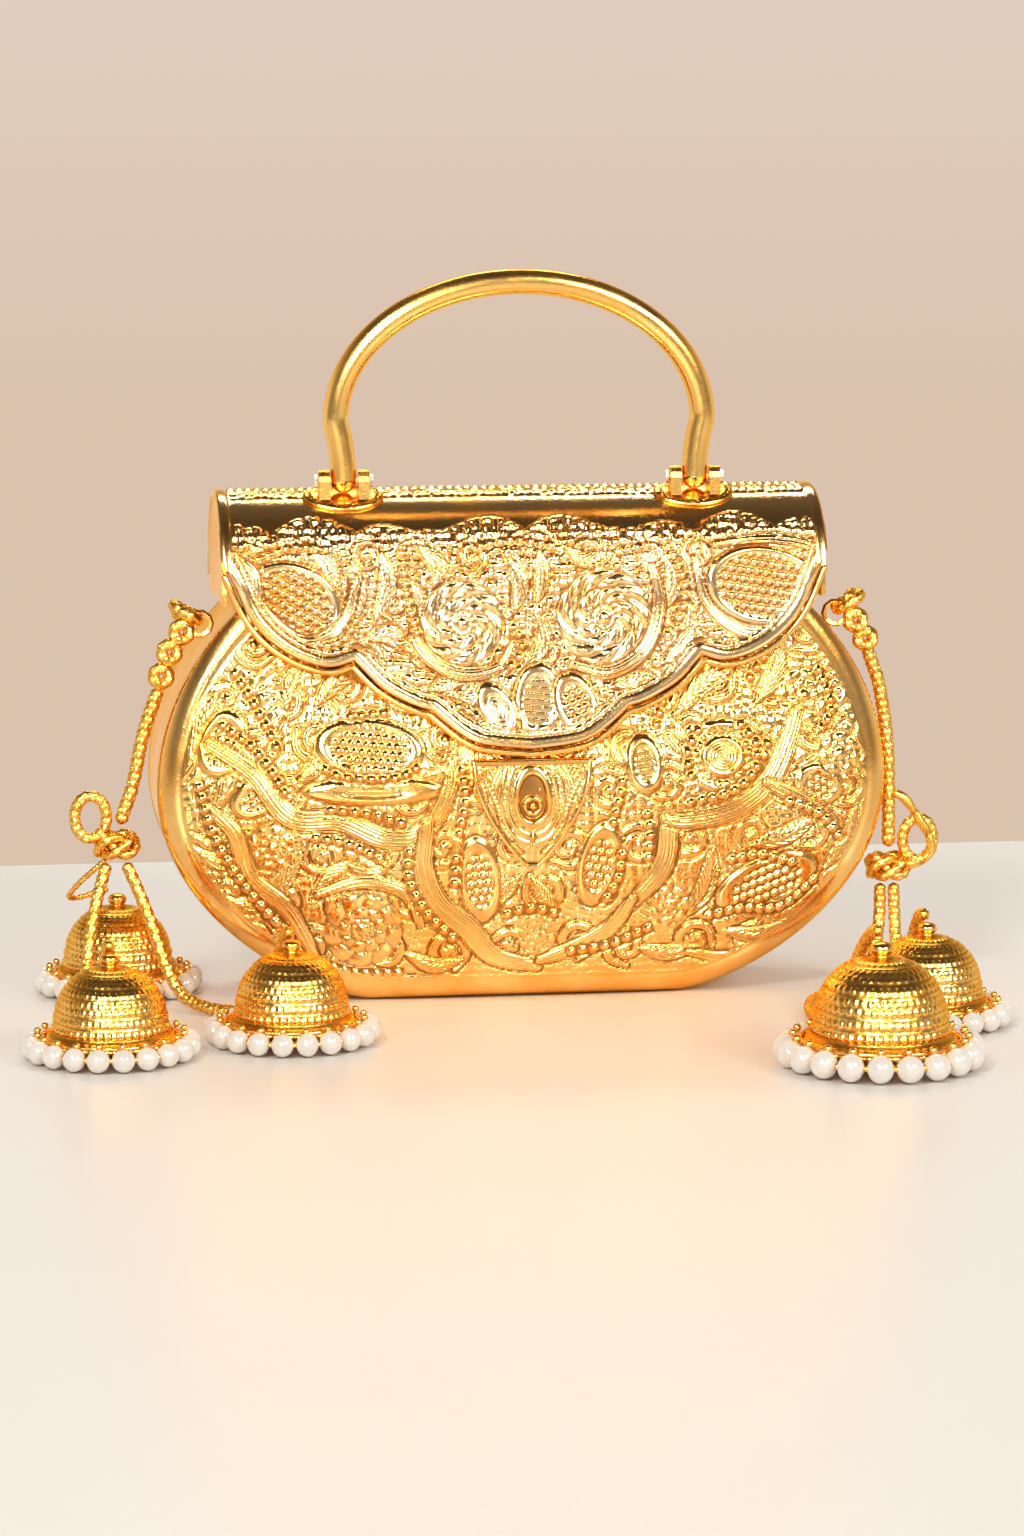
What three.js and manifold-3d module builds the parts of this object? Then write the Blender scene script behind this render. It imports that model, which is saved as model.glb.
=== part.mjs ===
// Potli bag: a rigid metal clutch with a rolled flap lid, a bow handle and two tassels of bells.
// Millimetres, +Z up, front towards -Y, origin at the middle of the flat bottom.

import * as THREE from 'three';
import { mergeVertices } from 'three/addons/utils/BufferGeometryUtils.js';
import Module from 'manifold-3d';

const wasm = await Module();
wasm.setup();

// Sheet and fits
const SHEET = 1.2;
const GAP = 0.3;
const TURNING_GAP = 0.4;

// Case outline, seen from the front
const CASE_HALF_WIDTH = 100;
const FLAT_HALF_WIDTH = 42;
const WIDEST_Z = 58;
const MOUTH_Z = 112;
const SIDE_CURVE = 78;
const CORNER_POWER = 0.68;

// Case depth
const BAND_DEPTH = 40;
const BELLY_Z = 55;
const BACK_CREST = 28;
const BORDER = 7;
const BORDER_RISE = 0.9;

// Lid
const ROLL_RADIUS = 25.5;
const LID_OVERHANG = 10.44;
const FLAP_TIP_Z = 70;
const FLAP_FLARE = 8.5;
const MAGNET_THICKNESS = 1;
const MAGNET_RADIUS = 5;
const MAGNET_Z = 81;
const EDGE_WIRE_RADIUS = 0.9;
const LID_END_DROP = 3;
const FLAP_CORNER_RISE = 10;

// Scalloped edge of the flap as half lobes from the corner to the middle, in shares of the flap:
// out from the middle, and up from the tip to the corner
const FLAP_LOBES = [
  [[1, 1], [0.956, 0.846], [0.923, 0.723], [0.877, 0.615], [0.806, 0.519], [0.726, 0.456], [0.648, 0.431],
    [0.574, 0.462]],
  [[0.574, 0.462], [0.504, 0.346], [0.446, 0.283], [0.373, 0.227], [0.327, 0.208]],
  [[0.327, 0.208], [0.232, 0.083], [0.151, 0.027], [0, 0]],
];

// Hinge along the back edge
const HINGE_HALF_LENGTH = 45;
const HINGE_PIN_RADIUS = 0.8;
const KNUCKLE_WALL = 0.8;
const KNUCKLE_COUNT = 5;
const HINGE_REACH = 2.7;
const HINGE_DROP = 1.5;
const LEAF_THICKNESS = 1;
const LEAF_HEIGHT = 8;
const CASE_LEAF_DROP = 5;
const LID_LEAF_TURNS = [3, 8, 13, 18];
const WEB_OVERLAP = 2;

// Handle
const HANDLE_RADIUS = 3.45;
const HANDLE_HALF_WIDTH = 50.2;
const HANDLE_ARCH = 37.2;
const HANDLE_LEG = 16.2;
const HANDLE_DRAW_IN = 2.1;
const PIVOT_Y = -10;
const PIVOT_STAND = 5.3426;
const LUG_RADIUS = 3;
const LUG_WIDTH = 3;
const HANDLE_PIN_RADIUS = 0.9;
const PIN_HEAD_RADIUS = 1.8;
const PIN_HEAD_WIDTH = 0.8;
const BASE_HALF_WIDTH = 11;
const BASE_HALF_DEPTH = 7;
const BASE_THICKNESS = 1.2;

// Clasp shield
const SHIELD_TOP_HALF = 16.5;
const SHIELD_BOTTOM_Z = 37;
const SHIELD_THICKNESS = 1.5;
const SHIELD_RIM = 0.7;

// Lining
const LINING_GAP = 0.5;
const LINING_THICKNESS = 0.9;

// Ropes and bells
const ROPE_RADIUS = 1.9;
const STRAND_RADIUS = 1.7;
const THREAD_RADIUS = 0.8;
const EYE_RADIUS = 3.2;
const EYE_WIRE = 0.8;
const EYE_Z = 100;
const EYE_Y = -11;
const BELL_WALL = 1;
const PEARL_RADIUS = 3;
const PEARL_COUNT = 20;
const PEARL_RING_RADIUS = 20.5;
const PEARL_WIRE = 0.5;
const FLOOR_GAP = 0.05;

// Colours
const GOLD = { color: 0xd9a04a, roughness: 0.28, metalness: 1 };
const GOLD_SMOOTH = { color: 0xe8b060, roughness: 0.2, metalness: 1 };
const GOLD_ROPE = { color: 0xc88a35, roughness: 0.45, metalness: 0.8 };
const STEEL = { color: 0xb9b3a6, roughness: 0.35, metalness: 1 };
const VELVET = { color: 0x5a1620, roughness: 0.95, metalness: 0 };
const PEARL = { color: 0xf6ead8, roughness: 0.25, metalness: 0 };

const bag = new THREE.Group();

const vec = (x, y, z) => new THREE.Vector3(x, y, z);
const frontFrame = new THREE.Matrix4().makeBasis(vec(1, 0, 0), vec(0, 0, 1), vec(0, -1, 0));
const sideFrame = new THREE.Matrix4().makeBasis(vec(0, 1, 0), vec(0, 0, 1), vec(1, 0, 0));

// Adds one named piece to the bag.
function add(name, shape, finish) {
  const geometry = shape.isBufferGeometry ? shape : geometryOf(shape);
  const mesh = new THREE.Mesh(geometry, new THREE.MeshStandardMaterial(finish));
  mesh.name = name;
  bag.add(mesh);
  return mesh;
}

// Shared vertices only, so that a geometry can be handed to the boolean library.
function merged(geometry) {
  const bare = geometry.clone();
  bare.deleteAttribute('normal');
  bare.deleteAttribute('uv');
  return mergeVertices(bare, 1e-4);
}

function solidOf(geometry) {
  const bare = merged(geometry);
  const corners = Array.from(bare.index.array);
  const triangles = [];
  for (let i = 0; i < corners.length; i += 3) {
    const [a, b, c] = corners.slice(i, i + 3);
    if (a !== b && b !== c && c !== a) triangles.push(a, b, c);
  }
  const mesh = new wasm.Mesh({
    numProp: 3,
    vertProperties: new Float32Array(bare.attributes.position.array),
    triVerts: new Uint32Array(triangles),
  });
  return new wasm.Manifold(mesh);
}

function geometryOf(solid) {
  const { vertProperties, triVerts } = solid.getMesh();
  const geometry = new THREE.BufferGeometry();
  geometry.setAttribute('position', new THREE.BufferAttribute(new Float32Array(vertProperties), 3));
  geometry.setIndex(new THREE.BufferAttribute(new Uint32Array(triVerts), 1));
  return geometry;
}

const joined = (solids) => solids.reduce((whole, solid) => whole.add(solid));

// The outer skin of a solid, with any small pocket that crossing ridges enclosed filled up.
const outerShell = (solid) => solid.decompose().sort((a, b) => b.volume() - a.volume())[0];

// A closed body between an outer and an inner sheet. Both are functions of a column and a row position,
// and the sheets are joined along their edges, or only along the rows' ends where the columns close up.
function sheetBody(outer, inner, columns, rows, loop = false) {
  const points = [];
  for (const sheet of [outer, inner]) {
    for (const row of rows) {
      for (const column of columns) points.push(sheet(column, row));
    }
  }
  const width = columns.length;
  const height = rows.length;
  const at = (layer, i, j) => layer * width * height + j * width + (loop ? i % width : i);
  const index = [];
  const quad = (a, b, c, d) => index.push(a, b, c, a, c, d);
  const spans = loop ? width : width - 1;
  for (let j = 0; j < height - 1; j += 1) {
    for (let i = 0; i < spans; i += 1) {
      quad(at(0, i, j), at(0, i + 1, j), at(0, i + 1, j + 1), at(0, i, j + 1));
      quad(at(1, i, j + 1), at(1, i + 1, j + 1), at(1, i + 1, j), at(1, i, j));
    }
  }
  for (let i = 0; i < spans; i += 1) {
    quad(at(1, i, 0), at(1, i + 1, 0), at(0, i + 1, 0), at(0, i, 0));
    quad(at(0, i, height - 1), at(0, i + 1, height - 1), at(1, i + 1, height - 1), at(1, i, height - 1));
  }
  for (let j = 0; j < height - 1 && !loop; j += 1) {
    quad(at(0, 0, j), at(0, 0, j + 1), at(1, 0, j + 1), at(1, 0, j));
    quad(at(1, width - 1, j), at(1, width - 1, j + 1), at(0, width - 1, j + 1), at(0, width - 1, j));
  }
  return solidOf(facingOut(points, index));
}

// A closed ring with a section that changes from station to station.
function wovenRing(section, stations, sides) {
  const points = stations.flatMap((station) => span(0, sides - 1, sides - 1)
    .map((i) => section(station, ((i + 0.5) * 2 * Math.PI) / sides)));
  const at = (i, j) => (i % stations.length) * sides + (j % sides);
  const index = [];
  for (let i = 0; i < stations.length; i += 1) {
    for (let j = 0; j < sides; j += 1) {
      index.push(at(i, j), at(i + 1, j), at(i + 1, j + 1), at(i, j), at(i + 1, j + 1), at(i, j + 1));
    }
  }
  return solidOf(facingOut(points, index));
}

// Turns every triangle round if the body they enclose is inside out.
function facingOut(points, index) {
  let volume = 0;
  for (let i = 0; i < index.length; i += 3) {
    const [a, b, c] = [points[index[i]], points[index[i + 1]], points[index[i + 2]]];
    volume += a.dot(b.clone().cross(c));
  }
  const geometry = new THREE.BufferGeometry().setFromPoints(points);
  geometry.setIndex(volume < 0 ? index.toReversed() : index);
  return geometry;
}

const roundSection = (radius, sides) => new THREE.Shape(Array.from({ length: sides }, (_, i) => {
  const turn = (i / sides) * 2 * Math.PI;
  return new THREE.Vector2(radius * Math.cos(turn), radius * Math.sin(turn));
}));

// An open tube along a smooth path, and a closed one.
function tube(points, radius, sides, steps) {
  const path = new THREE.CatmullRomCurve3(points, false, 'centripetal');
  return new THREE.ExtrudeGeometry(roundSection(radius, sides), { steps, extrudePath: path });
}

function ringTube(points, radius, sides, steps) {
  const path = new THREE.CatmullRomCurve3(points, true, 'centripetal');
  return new THREE.TubeGeometry(path, steps, radius, sides, true);
}

// A flat outline pushed along the depth or across the width, centred on the given place.
function slab(shape, length, frame, centre) {
  const geometry = new THREE.ExtrudeGeometry(shape, { depth: length, bevelEnabled: false, curveSegments: 8 });
  geometry.translate(0, 0, -length / 2);
  geometry.applyMatrix4(frame);
  return geometry.translate(centre.x, centre.y, centre.z);
}

const across = (radius, length, x, y, z, sides = 12) => (
  new THREE.CylinderGeometry(radius, radius, length, sides).rotateZ(Math.PI / 2).translate(x, y, z)
);
const span = (from, to, count) => (
  Array.from({ length: count + 1 }, (_, i) => from + ((to - from) * i) / count)
);

// Half width of the case at a height: a power curve below its widest line, an ellipse above it.
function halfWidth(z) {
  if (z < WIDEST_Z) {
    const drop = (WIDEST_Z - z) / WIDEST_Z;
    return FLAT_HALF_WIDTH + (CASE_HALF_WIDTH - FLAT_HALF_WIDTH) * Math.max(0, 1 - drop ** 2) ** CORNER_POWER;
  }
  return CASE_HALF_WIDTH * Math.sqrt(1 - ((z - WIDEST_Z) / SIDE_CURVE) ** 2);
}

// Heights of the outline's points, close together where it turns.
const outlineHeights = [
  ...span(0, Math.PI / 2, 12).map((turn) => WIDEST_Z * (1 - Math.cos(turn))),
  ...span(0, Math.asin((MOUTH_Z - WIDEST_Z) / SIDE_CURVE), 6).slice(1)
    .map((turn) => WIDEST_Z + SIDE_CURVE * Math.sin(turn)),
];

// The lid is wider than the mouth, and the handle's pins stand above the roll.
const LID_HALF_WIDTH = halfWidth(MOUTH_Z) + LID_OVERHANG;
const PIVOT_Z = MOUTH_Z + Math.sqrt(ROLL_RADIUS ** 2 - PIVOT_Y ** 2) + PIVOT_STAND;
const HANDLE_ARCH_Z = PIVOT_Z + HANDLE_LEG;
const HANDLE_FOOT_X = HANDLE_HALF_WIDTH - HANDLE_DRAW_IN;

// Distance of a point from the case's outline, and the rise of the smooth rolled border there.
const outline = outlineHeights.map((z) => new THREE.Vector2(halfWidth(z), z));
function outlineDistance(x, z) {
  const point = new THREE.Vector2(Math.abs(x), z);
  const nearest = Math.min(...outline.map((corner) => corner.distanceTo(point)));
  return x ** 2 > FLAT_HALF_WIDTH ** 2 ? nearest : Math.min(nearest, z);
}
const borderRise = (d) => (d < BORDER ? BORDER_RISE * Math.sin((Math.PI * d) / BORDER) : 0);

// Depth of the flap's outer face in front of the middle plane: it flares out towards its tip.
const flapDrop = (z) => Math.max(0, (MOUTH_Z - z) / (MOUTH_Z - FLAP_TIP_Z));
const flapDepth = (z) => ROLL_RADIUS + FLAP_FLARE * flapDrop(z) ** 1.5;

// Depth of the front plate on its middle line: along the flap, out to the belly, then round under.
const FLAP_STANDOFF = MAGNET_THICKNESS + 2 * GAP;
function frontCrest(z) {
  if (z > FLAP_TIP_Z) return flapDepth(z) - SHEET - FLAP_STANDOFF;
  const slope = (1.5 * FLAP_FLARE) / (MOUTH_Z - FLAP_TIP_Z);
  const run = FLAP_TIP_Z - BELLY_Z;
  const down = Math.min(FLAP_TIP_Z - z, run);
  const belly = flapDepth(FLAP_TIP_Z) - SHEET - FLAP_STANDOFF + slope * down * (1 - down / (2 * run));
  return z > BELLY_Z ? belly : roundedUnder(belly, z);
}
const roundedUnder = (crest, z) => BAND_DEPTH / 2
  + (crest - BAND_DEPTH / 2) * Math.max(0, 1 - ((BELLY_Z - z) / BELLY_Z) ** 2.4) ** 0.6;

// Depth of the back plate on its middle line.
function backCrest(z) {
  const mouth = frontCrest(MOUTH_Z);
  if (z < BELLY_Z) return roundedUnder(BACK_CREST, z);
  return BACK_CREST - (BACK_CREST - mouth) * ((z - BELLY_Z) / (MOUTH_Z - BELLY_Z)) ** 2;
}

// Depth of a plate anywhere: its crest, falling to the band's edge at the outline.
const sideFall = (share) => Math.max(0, 1 - Math.abs(share) ** 3) ** 0.55;
const plateDepth = (crest, x, z) => BAND_DEPTH / 2
  + (crest(z) - BAND_DEPTH / 2) * sideFall(x / halfWidth(z)) + borderRise(outlineDistance(x, z));
const frontPoint = (x, z, lift = 0) => vec(x, -plateDepth(frontCrest, x, z) - lift, z);

// Front and back plates: dished sheets whose edges stand on the band
const edgeShares = [1, 0.98, 0.95, 0.92, 0.8, 0.6, 0.32];
const plateShares = [...edgeShares.map((share) => -share), 0, ...edgeShares.toReversed()];
const plateHeights = [0, 1.5, 4, BORDER, 13, 24, 40, WIDEST_Z, FLAP_TIP_Z, 83, 97, MOUTH_Z];

function dishedPlate(crest, side) {
  const outer = (share, z) => {
    const x = share * halfWidth(z);
    return vec(x, side * plateDepth(crest, x, z), z);
  };
  const inner = (share, z) => {
    const depth = Math.max(BAND_DEPTH / 2, plateDepth(crest, share * halfWidth(z), z) - SHEET);
    return vec(share * (halfWidth(z) - SHEET), side * depth, SHEET + (z * (MOUTH_Z - SHEET)) / MOUTH_Z);
  };
  return sheetBody(outer, inner, plateShares, plateHeights);
}

// Embossed lines, drawn as points seen from the front, on a case with a half width of 100, a mouth at 112
// and a flap with a half width of 82.6 and a tip at 70; they stretch with the real ones
const DRAWN = { caseHalf: 100, mouthZ: 112, lidHalf: 82.6, tipZ: 70 };
const RIDGE_RADIUS = 1.2;
const RIDGE_SINK = 0.2;
const RIDGE_STEP = 8;
const BEAD_RADIUS = 2;

const ovalLine = (x, z, rx, rz, tilt = 0) => span(0, 2 * Math.PI, 8).slice(1).map((turn) => {
  const [along, up] = [rx * Math.cos(turn), rz * Math.sin(turn)];
  return [x + along * Math.cos(tilt) - up * Math.sin(tilt), z + along * Math.sin(tilt) + up * Math.cos(tilt)];
});
const spiralLine = (x, z, radius, turns, start) => span(0, 1, Math.ceil(turns * 7)).map((t) => {
  const turn = start + t * turns * 2 * Math.PI;
  const reach = radius * (0.18 + 0.82 * t);
  return [x + reach * Math.cos(turn), z + reach * Math.sin(turn)];
});

function ridge(line, surface, closed) {
  const points = line.map(([x, z]) => surface(x, z, -RIDGE_SINK));
  const length = points.slice(1).reduce((sum, point, i) => sum + point.distanceTo(points[i]), 0);
  const steps = Math.max(closed ? 8 : 3, Math.round(length / RIDGE_STEP));
  return solidOf(closed ? ringTube(points, RIDGE_RADIUS, 4, steps) : tube(points, RIDGE_RADIUS, 4, steps));
}

const bead = (x, z, surface) => {
  const centre = surface(x, z, -RIDGE_SINK);
  const stud = new THREE.OctahedronGeometry(BEAD_RADIUS).scale(1, 0.7, 1);
  return solidOf(stud.translate(centre.x, centre.y, centre.z));
};

function embossed(plate, surface, lines, loops, beads) {
  const ridges = lines.map((line) => ridge(line, surface, false));
  const rings = loops.map((line) => ridge(line, surface, true));
  const studs = beads.map(([x, z]) => bead(x, z, surface));
  return outerShell(joined([plate, ...ridges, ...rings, ...studs]));
}

// Front plate: stems that sweep across it, pods and rosettes between them, and rows of beads
const FRONT_LINES = [
  [[-84, 70], [-75, 60], [-66, 53.5], [-52, 51], [-40, 46.5], [-31, 47.5], [-24, 57], [-22, 66]],
  [[-32, 47], [-30, 38], [-26, 28], [-18, 21], [-9, 13]],
  [[6, 13], [18, 19], [28, 26], [36, 38], [38, 51], [57, 52.5], [68, 60], [74, 72]],
  [[-86, 48], [-78, 36], [-66, 31], [-58, 20]],
  [[68, 60], [79, 52], [88, 42]],
  [[-76, 82], [-70, 92]],
  [[-67, 80], [-62, 90]],
  [[-86, 76], [-80, 86]],
  spiralLine(-45.6, 21, 6, 1, 0.5),
  spiralLine(76, 82, 6.5, 1.3, 2),
  spiralLine(86, 62, 5.5, 1.2, 4),
  [[36, 76], [43, 70], [51, 78]],
];
const FRONT_LOOPS = [
  ovalLine(-45.6, 21, 9.6, 9.6),
  ovalLine(-45, 71, 15, 7.5, -0.1),
  ovalLine(54, 67, 9, 8),
  ovalLine(30, 64, 4.5, 7, 0.15),
  ovalLine(-14, 33, 4.5, 11.5, 0.12),
  ovalLine(17, 36, 4.5, 10.5, -0.2),
  ovalLine(65, 30, 14, 8, 0.35),
];
const FRONT_BEADS = [
  ...span(-55, -35, 4).map((x) => [x, 72.5 - 0.1 * (x + 45)]),
  ...span(-60, -36, 5).map((x) => [x, 58.5]),
  ...span(55, 75, 4).map((x) => [x, 26.5 + 0.36 * (x - 55)]),
  ...span(48, 60, 2).map((x) => [x, 67]),
  ...span(24, 42, 3).map((z) => [-14 - 0.12 * (z - 33), z]),
  ...span(28, 44, 3).map((z) => [17 + 0.2 * (z - 36), z]),
  ...span(-76, -62, 3).map((x) => [x, 42 - 0.2 * (x + 69)]),
  ...span(-6, 12, 2).map((x) => [x, 22 + 0.1 * x]),
];
const frontSheet = dishedPlate(frontCrest, -1);
const frontPattern = (x, z, lift) => (
  frontPoint((x * CASE_HALF_WIDTH) / DRAWN.caseHalf, (z * MOUTH_Z) / DRAWN.mouthZ, lift)
);
add('front_plate', embossed(frontSheet, frontPattern, FRONT_LINES, FRONT_LOOPS, FRONT_BEADS), GOLD);
add('back_plate', dishedPlate(backCrest, 1), GOLD_SMOOTH);

// Band: one strip bent round the sides and bottom, between the two plates
const outlinePoint = (z, inset) => {
  const slope = (halfWidth(z + 0.01) - halfWidth(Math.max(0, z - 0.01))) / (z < 0.01 ? z + 0.01 : 0.02);
  const normal = new THREE.Vector2(1, -Math.min(slope, 1e3)).normalize();
  return new THREE.Vector2(halfWidth(z), z).addScaledVector(normal, -inset);
};
function bandShape() {
  const right = outlineHeights.map((z) => outlinePoint(z, 0));
  const inner = outlineHeights.map((z) => outlinePoint(z, SHEET));
  const mirrored = (points) => points.map(({ x, y }) => new THREE.Vector2(-x, y));
  return new THREE.Shape([
    ...mirrored(right).toReversed(), ...right, ...inner.toReversed(), ...mirrored(inner),
  ]);
}
const BAND_LENGTH = BAND_DEPTH - 2 * GAP;
add('gusset_band', slab(bandShape(), BAND_LENGTH, frontFrame, vec(0, 0, 0)), GOLD_SMOOTH);

// Lining: a fabric pouch that follows the inside of the case, open at the mouth
function liningSheet(inset) {
  return (turn, z) => {
    const height = Math.max(z, SHEET + inset);
    const shift = SHEET + inset;
    const wide = Math.min(halfWidth(height - shift), halfWidth(height + shift)) - shift;
    const deep = Math.min(frontCrest(height), backCrest(height)) - SHEET - inset;
    const reach = z > 0 ? 1 : 0;
    const [cos, sin] = [Math.cos(turn), Math.sin(turn)];
    const shrink = reach / (Math.abs(cos) ** 4 + Math.abs(sin) ** 4) ** 0.25;
    return vec(wide * cos * shrink, deep * sin * shrink, height);
  };
}
const liningTurns = span(0, 2 * Math.PI, 20).slice(1);
const liningHeights = [0, 3, 10, 22, 38, 55, 75, 95, MOUTH_Z - 1];
const outerLining = liningSheet(LINING_GAP);
const innerLining = liningSheet(LINING_GAP + LINING_THICKNESS);
add('lining', sheetBody(outerLining, innerLining, liningTurns, liningHeights, true), VELVET);

// Hinge: two leaves with interlocking knuckles on one pin behind the mouth
const HINGE_Y = ROLL_RADIUS + HINGE_REACH;
const HINGE_Z = MOUTH_Z - HINGE_DROP;
const KNUCKLE_BORE = HINGE_PIN_RADIUS + GAP;
const KNUCKLE_RADIUS = KNUCKLE_BORE + KNUCKLE_WALL;
const KNUCKLE_PITCH = (2 * HINGE_HALF_LENGTH) / KNUCKLE_COUNT;
const shapeOf = (corners) => new THREE.Shape(corners.map(([y, z]) => new THREE.Vector2(y, z)));
const polar = (radius, degrees) => {
  const turn = THREE.MathUtils.degToRad(degrees);
  return [radius * Math.cos(turn), MOUTH_Z + radius * Math.sin(turn)];
};

function hingeLeaf(plateCorners, webCorners, first) {
  const pieces = [solidOf(slab(shapeOf(plateCorners), 2 * HINGE_HALF_LENGTH, sideFrame, vec(0, 0, 0)))];
  for (let i = first; i < KNUCKLE_COUNT; i += 2) {
    const x = -HINGE_HALF_LENGTH + (i + 0.5) * KNUCKLE_PITCH;
    const width = KNUCKLE_PITCH - GAP;
    pieces.push(solidOf(slab(shapeOf(webCorners), width, sideFrame, vec(x, 0, 0))));
    pieces.push(solidOf(across(KNUCKLE_RADIUS, width, x, HINGE_Y, HINGE_Z, 10)));
  }
  const bore = across(KNUCKLE_BORE, 3 * HINGE_HALF_LENGTH, 0, HINGE_Y, HINGE_Z, 8);
  return joined(pieces).subtract(solidOf(bore));
}

const caseLeafTop = MOUTH_Z - CASE_LEAF_DROP;
const leafBack = backCrest(caseLeafTop - LEAF_HEIGHT) + GAP;
// A corner of a web inside its knuckle, in shares of the knuckle's radius
const inKnuckle = (back, up) => [HINGE_Y + back * KNUCKLE_RADIUS, HINGE_Z + up * KNUCKLE_RADIUS];
const caseLeaf = [
  [leafBack, caseLeafTop - LEAF_HEIGHT], [leafBack + LEAF_THICKNESS, caseLeafTop - LEAF_HEIGHT],
  [leafBack + LEAF_THICKNESS, caseLeafTop], [leafBack, caseLeafTop],
];
const caseWeb = [
  [leafBack, caseLeafTop - WEB_OVERLAP], [leafBack + LEAF_THICKNESS, caseLeafTop - WEB_OVERLAP],
  inKnuckle(0.57, -0.8), inKnuckle(-0.57, 0.23), [leafBack, caseLeafTop + WEB_OVERLAP / 2],
];
const leafInner = ROLL_RADIUS + GAP;
const leafOuter = leafInner + LEAF_THICKNESS;
const lidLeaf = LID_LEAF_TURNS.map((turn) => polar(leafInner, turn))
  .concat(LID_LEAF_TURNS.toReversed().map((turn) => polar(leafOuter, turn)));
const leafFoot = LID_LEAF_TURNS[0];
const lidWeb = [polar(leafInner, leafFoot), polar(leafInner, 2 * leafFoot), polar(leafOuter, 2 * leafFoot),
  inKnuckle(0.4, 0.86), inKnuckle(-0.57, 0.23)];
add('hinge_leaf_case', hingeLeaf(caseLeaf, caseWeb, 0), GOLD_SMOOTH);
add('hinge_leaf_lid', hingeLeaf(lidLeaf, lidWeb, 1), GOLD_SMOOTH);
add('hinge_pin', across(HINGE_PIN_RADIUS, 2 * HINGE_HALF_LENGTH + 1, 0, HINGE_Y, HINGE_Z, 8), STEEL);

// Clasp shield below the flap's tip, with a raised rim, a drop-shaped hollow, a ring and a diamond
const SHIELD_TOP_Z = FLAP_TIP_Z - GAP - 2 * EDGE_WIRE_RADIUS - TURNING_GAP;
const shieldHalf = (z) => {
  const rise = (z - SHIELD_BOTTOM_Z) / (SHIELD_TOP_Z - SHIELD_BOTTOM_Z);
  return 0.5 + (SHIELD_TOP_HALF - 0.5) * Math.sin((Math.PI / 2) * Math.min(1, rise * 1.02)) ** 0.85;
};
const shieldShares = [-1, -0.86, -0.72, -0.35, 0, 0.35, 0.72, 0.86, 1];
const SHIELD_RIM_WIDTH = 1.6;
const rimTop = SHIELD_TOP_Z - SHIELD_RIM_WIDTH;
const rimBottom = SHIELD_BOTTOM_Z + 2 * SHIELD_RIM_WIDTH;
const shieldHeights = [
  SHIELD_BOTTOM_Z, rimBottom, ...span(rimBottom + 1, rimTop - 0.5, 4), rimTop, SHIELD_TOP_Z,
];
const shieldLift = (share, z) => SHIELD_THICKNESS
  + (Math.abs(share) > 0.8 || z >= rimTop || z <= rimBottom ? SHIELD_RIM : 0);
const shieldSeat = GAP;
const shieldOuter = (share, z) => frontPoint(share * shieldHalf(z), z, shieldSeat + shieldLift(share, z));
const shieldInner = (share, z) => frontPoint(share * shieldHalf(z), z, shieldSeat);
const HOLLOW_Z = 56;
const hollow = (() => {
  const drop = ovalLine(0, 0, 3.4, 5.2).map(([x, z]) => [x, z > 0 ? z * 1.35 : z]);
  const centre = frontPoint(0, HOLLOW_Z, shieldSeat + SHIELD_THICKNESS);
  return solidOf(slab(shapeOf(drop), 1.6, frontFrame, centre));
})();
const shieldRing = new THREE.TorusGeometry(1.8, 0.5, 4, 10).rotateX(Math.PI / 2);
const ringCentre = frontPoint(0, HOLLOW_Z - 0.8, shieldSeat + SHIELD_THICKNESS - 0.8);
const diamond = new THREE.OctahedronGeometry(1.9).scale(0.8, 0.7, 1.3);
const diamondCentre = frontPoint(0, 46.5, shieldSeat + SHIELD_THICKNESS);
add('clasp_shield', sheetBody(shieldOuter, shieldInner, shieldShares, shieldHeights)
  .subtract(hollow)
  .add(solidOf(shieldRing.translate(ringCentre.x, ringCentre.y, ringCentre.z)))
  .add(solidOf(diamond.translate(diamondCentre.x, diamondCentre.y, diamondCentre.z))), GOLD_SMOOTH);

// Side eyes: wire rings on the ends of the case, which the tassels hang from
const eyeFoot = outlinePoint(EYE_Z, 0);
const eyeOut = outlinePoint(EYE_Z, -1).sub(eyeFoot);
const eyeCentre = eyeFoot.clone().addScaledVector(eyeOut, GAP + EYE_WIRE + EYE_RADIUS);
for (const [word, side] of [['left', -1], ['right', 1]]) {
  const ring = new THREE.TorusGeometry(EYE_RADIUS, EYE_WIRE, 5, 10).rotateX(Math.PI / 2);
  add(`side_eye_${word}`, ring.translate(side * eyeCentre.x, EYE_Y, eyeCentre.y), GOLD_SMOOTH);
}

// Flap edge: height of the scalloped edge at a distance from the middle
const flapRise = MOUTH_Z + FLAP_CORNER_RISE - FLAP_TIP_Z;
const edgePoints = FLAP_LOBES.flatMap((lobe) => {
  const path = new THREE.SplineCurve(lobe.map(([out, up]) => (
    new THREE.Vector2(out * LID_HALF_WIDTH, FLAP_TIP_Z + up * flapRise))));
  return path.getPoints(3 * (lobe.length - 1));
}).toReversed();
function edgeHeight(x) {
  const far = Math.min(Math.abs(x), LID_HALF_WIDTH);
  const next = Math.max(1, edgePoints.findIndex((point) => point.x >= far - 1e-9));
  const [a, b] = [edgePoints[next - 1], edgePoints[next]];
  return b.x === a.x ? b.y : a.y + ((b.y - a.y) * (far - a.x)) / (b.x - a.x);
}

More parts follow.
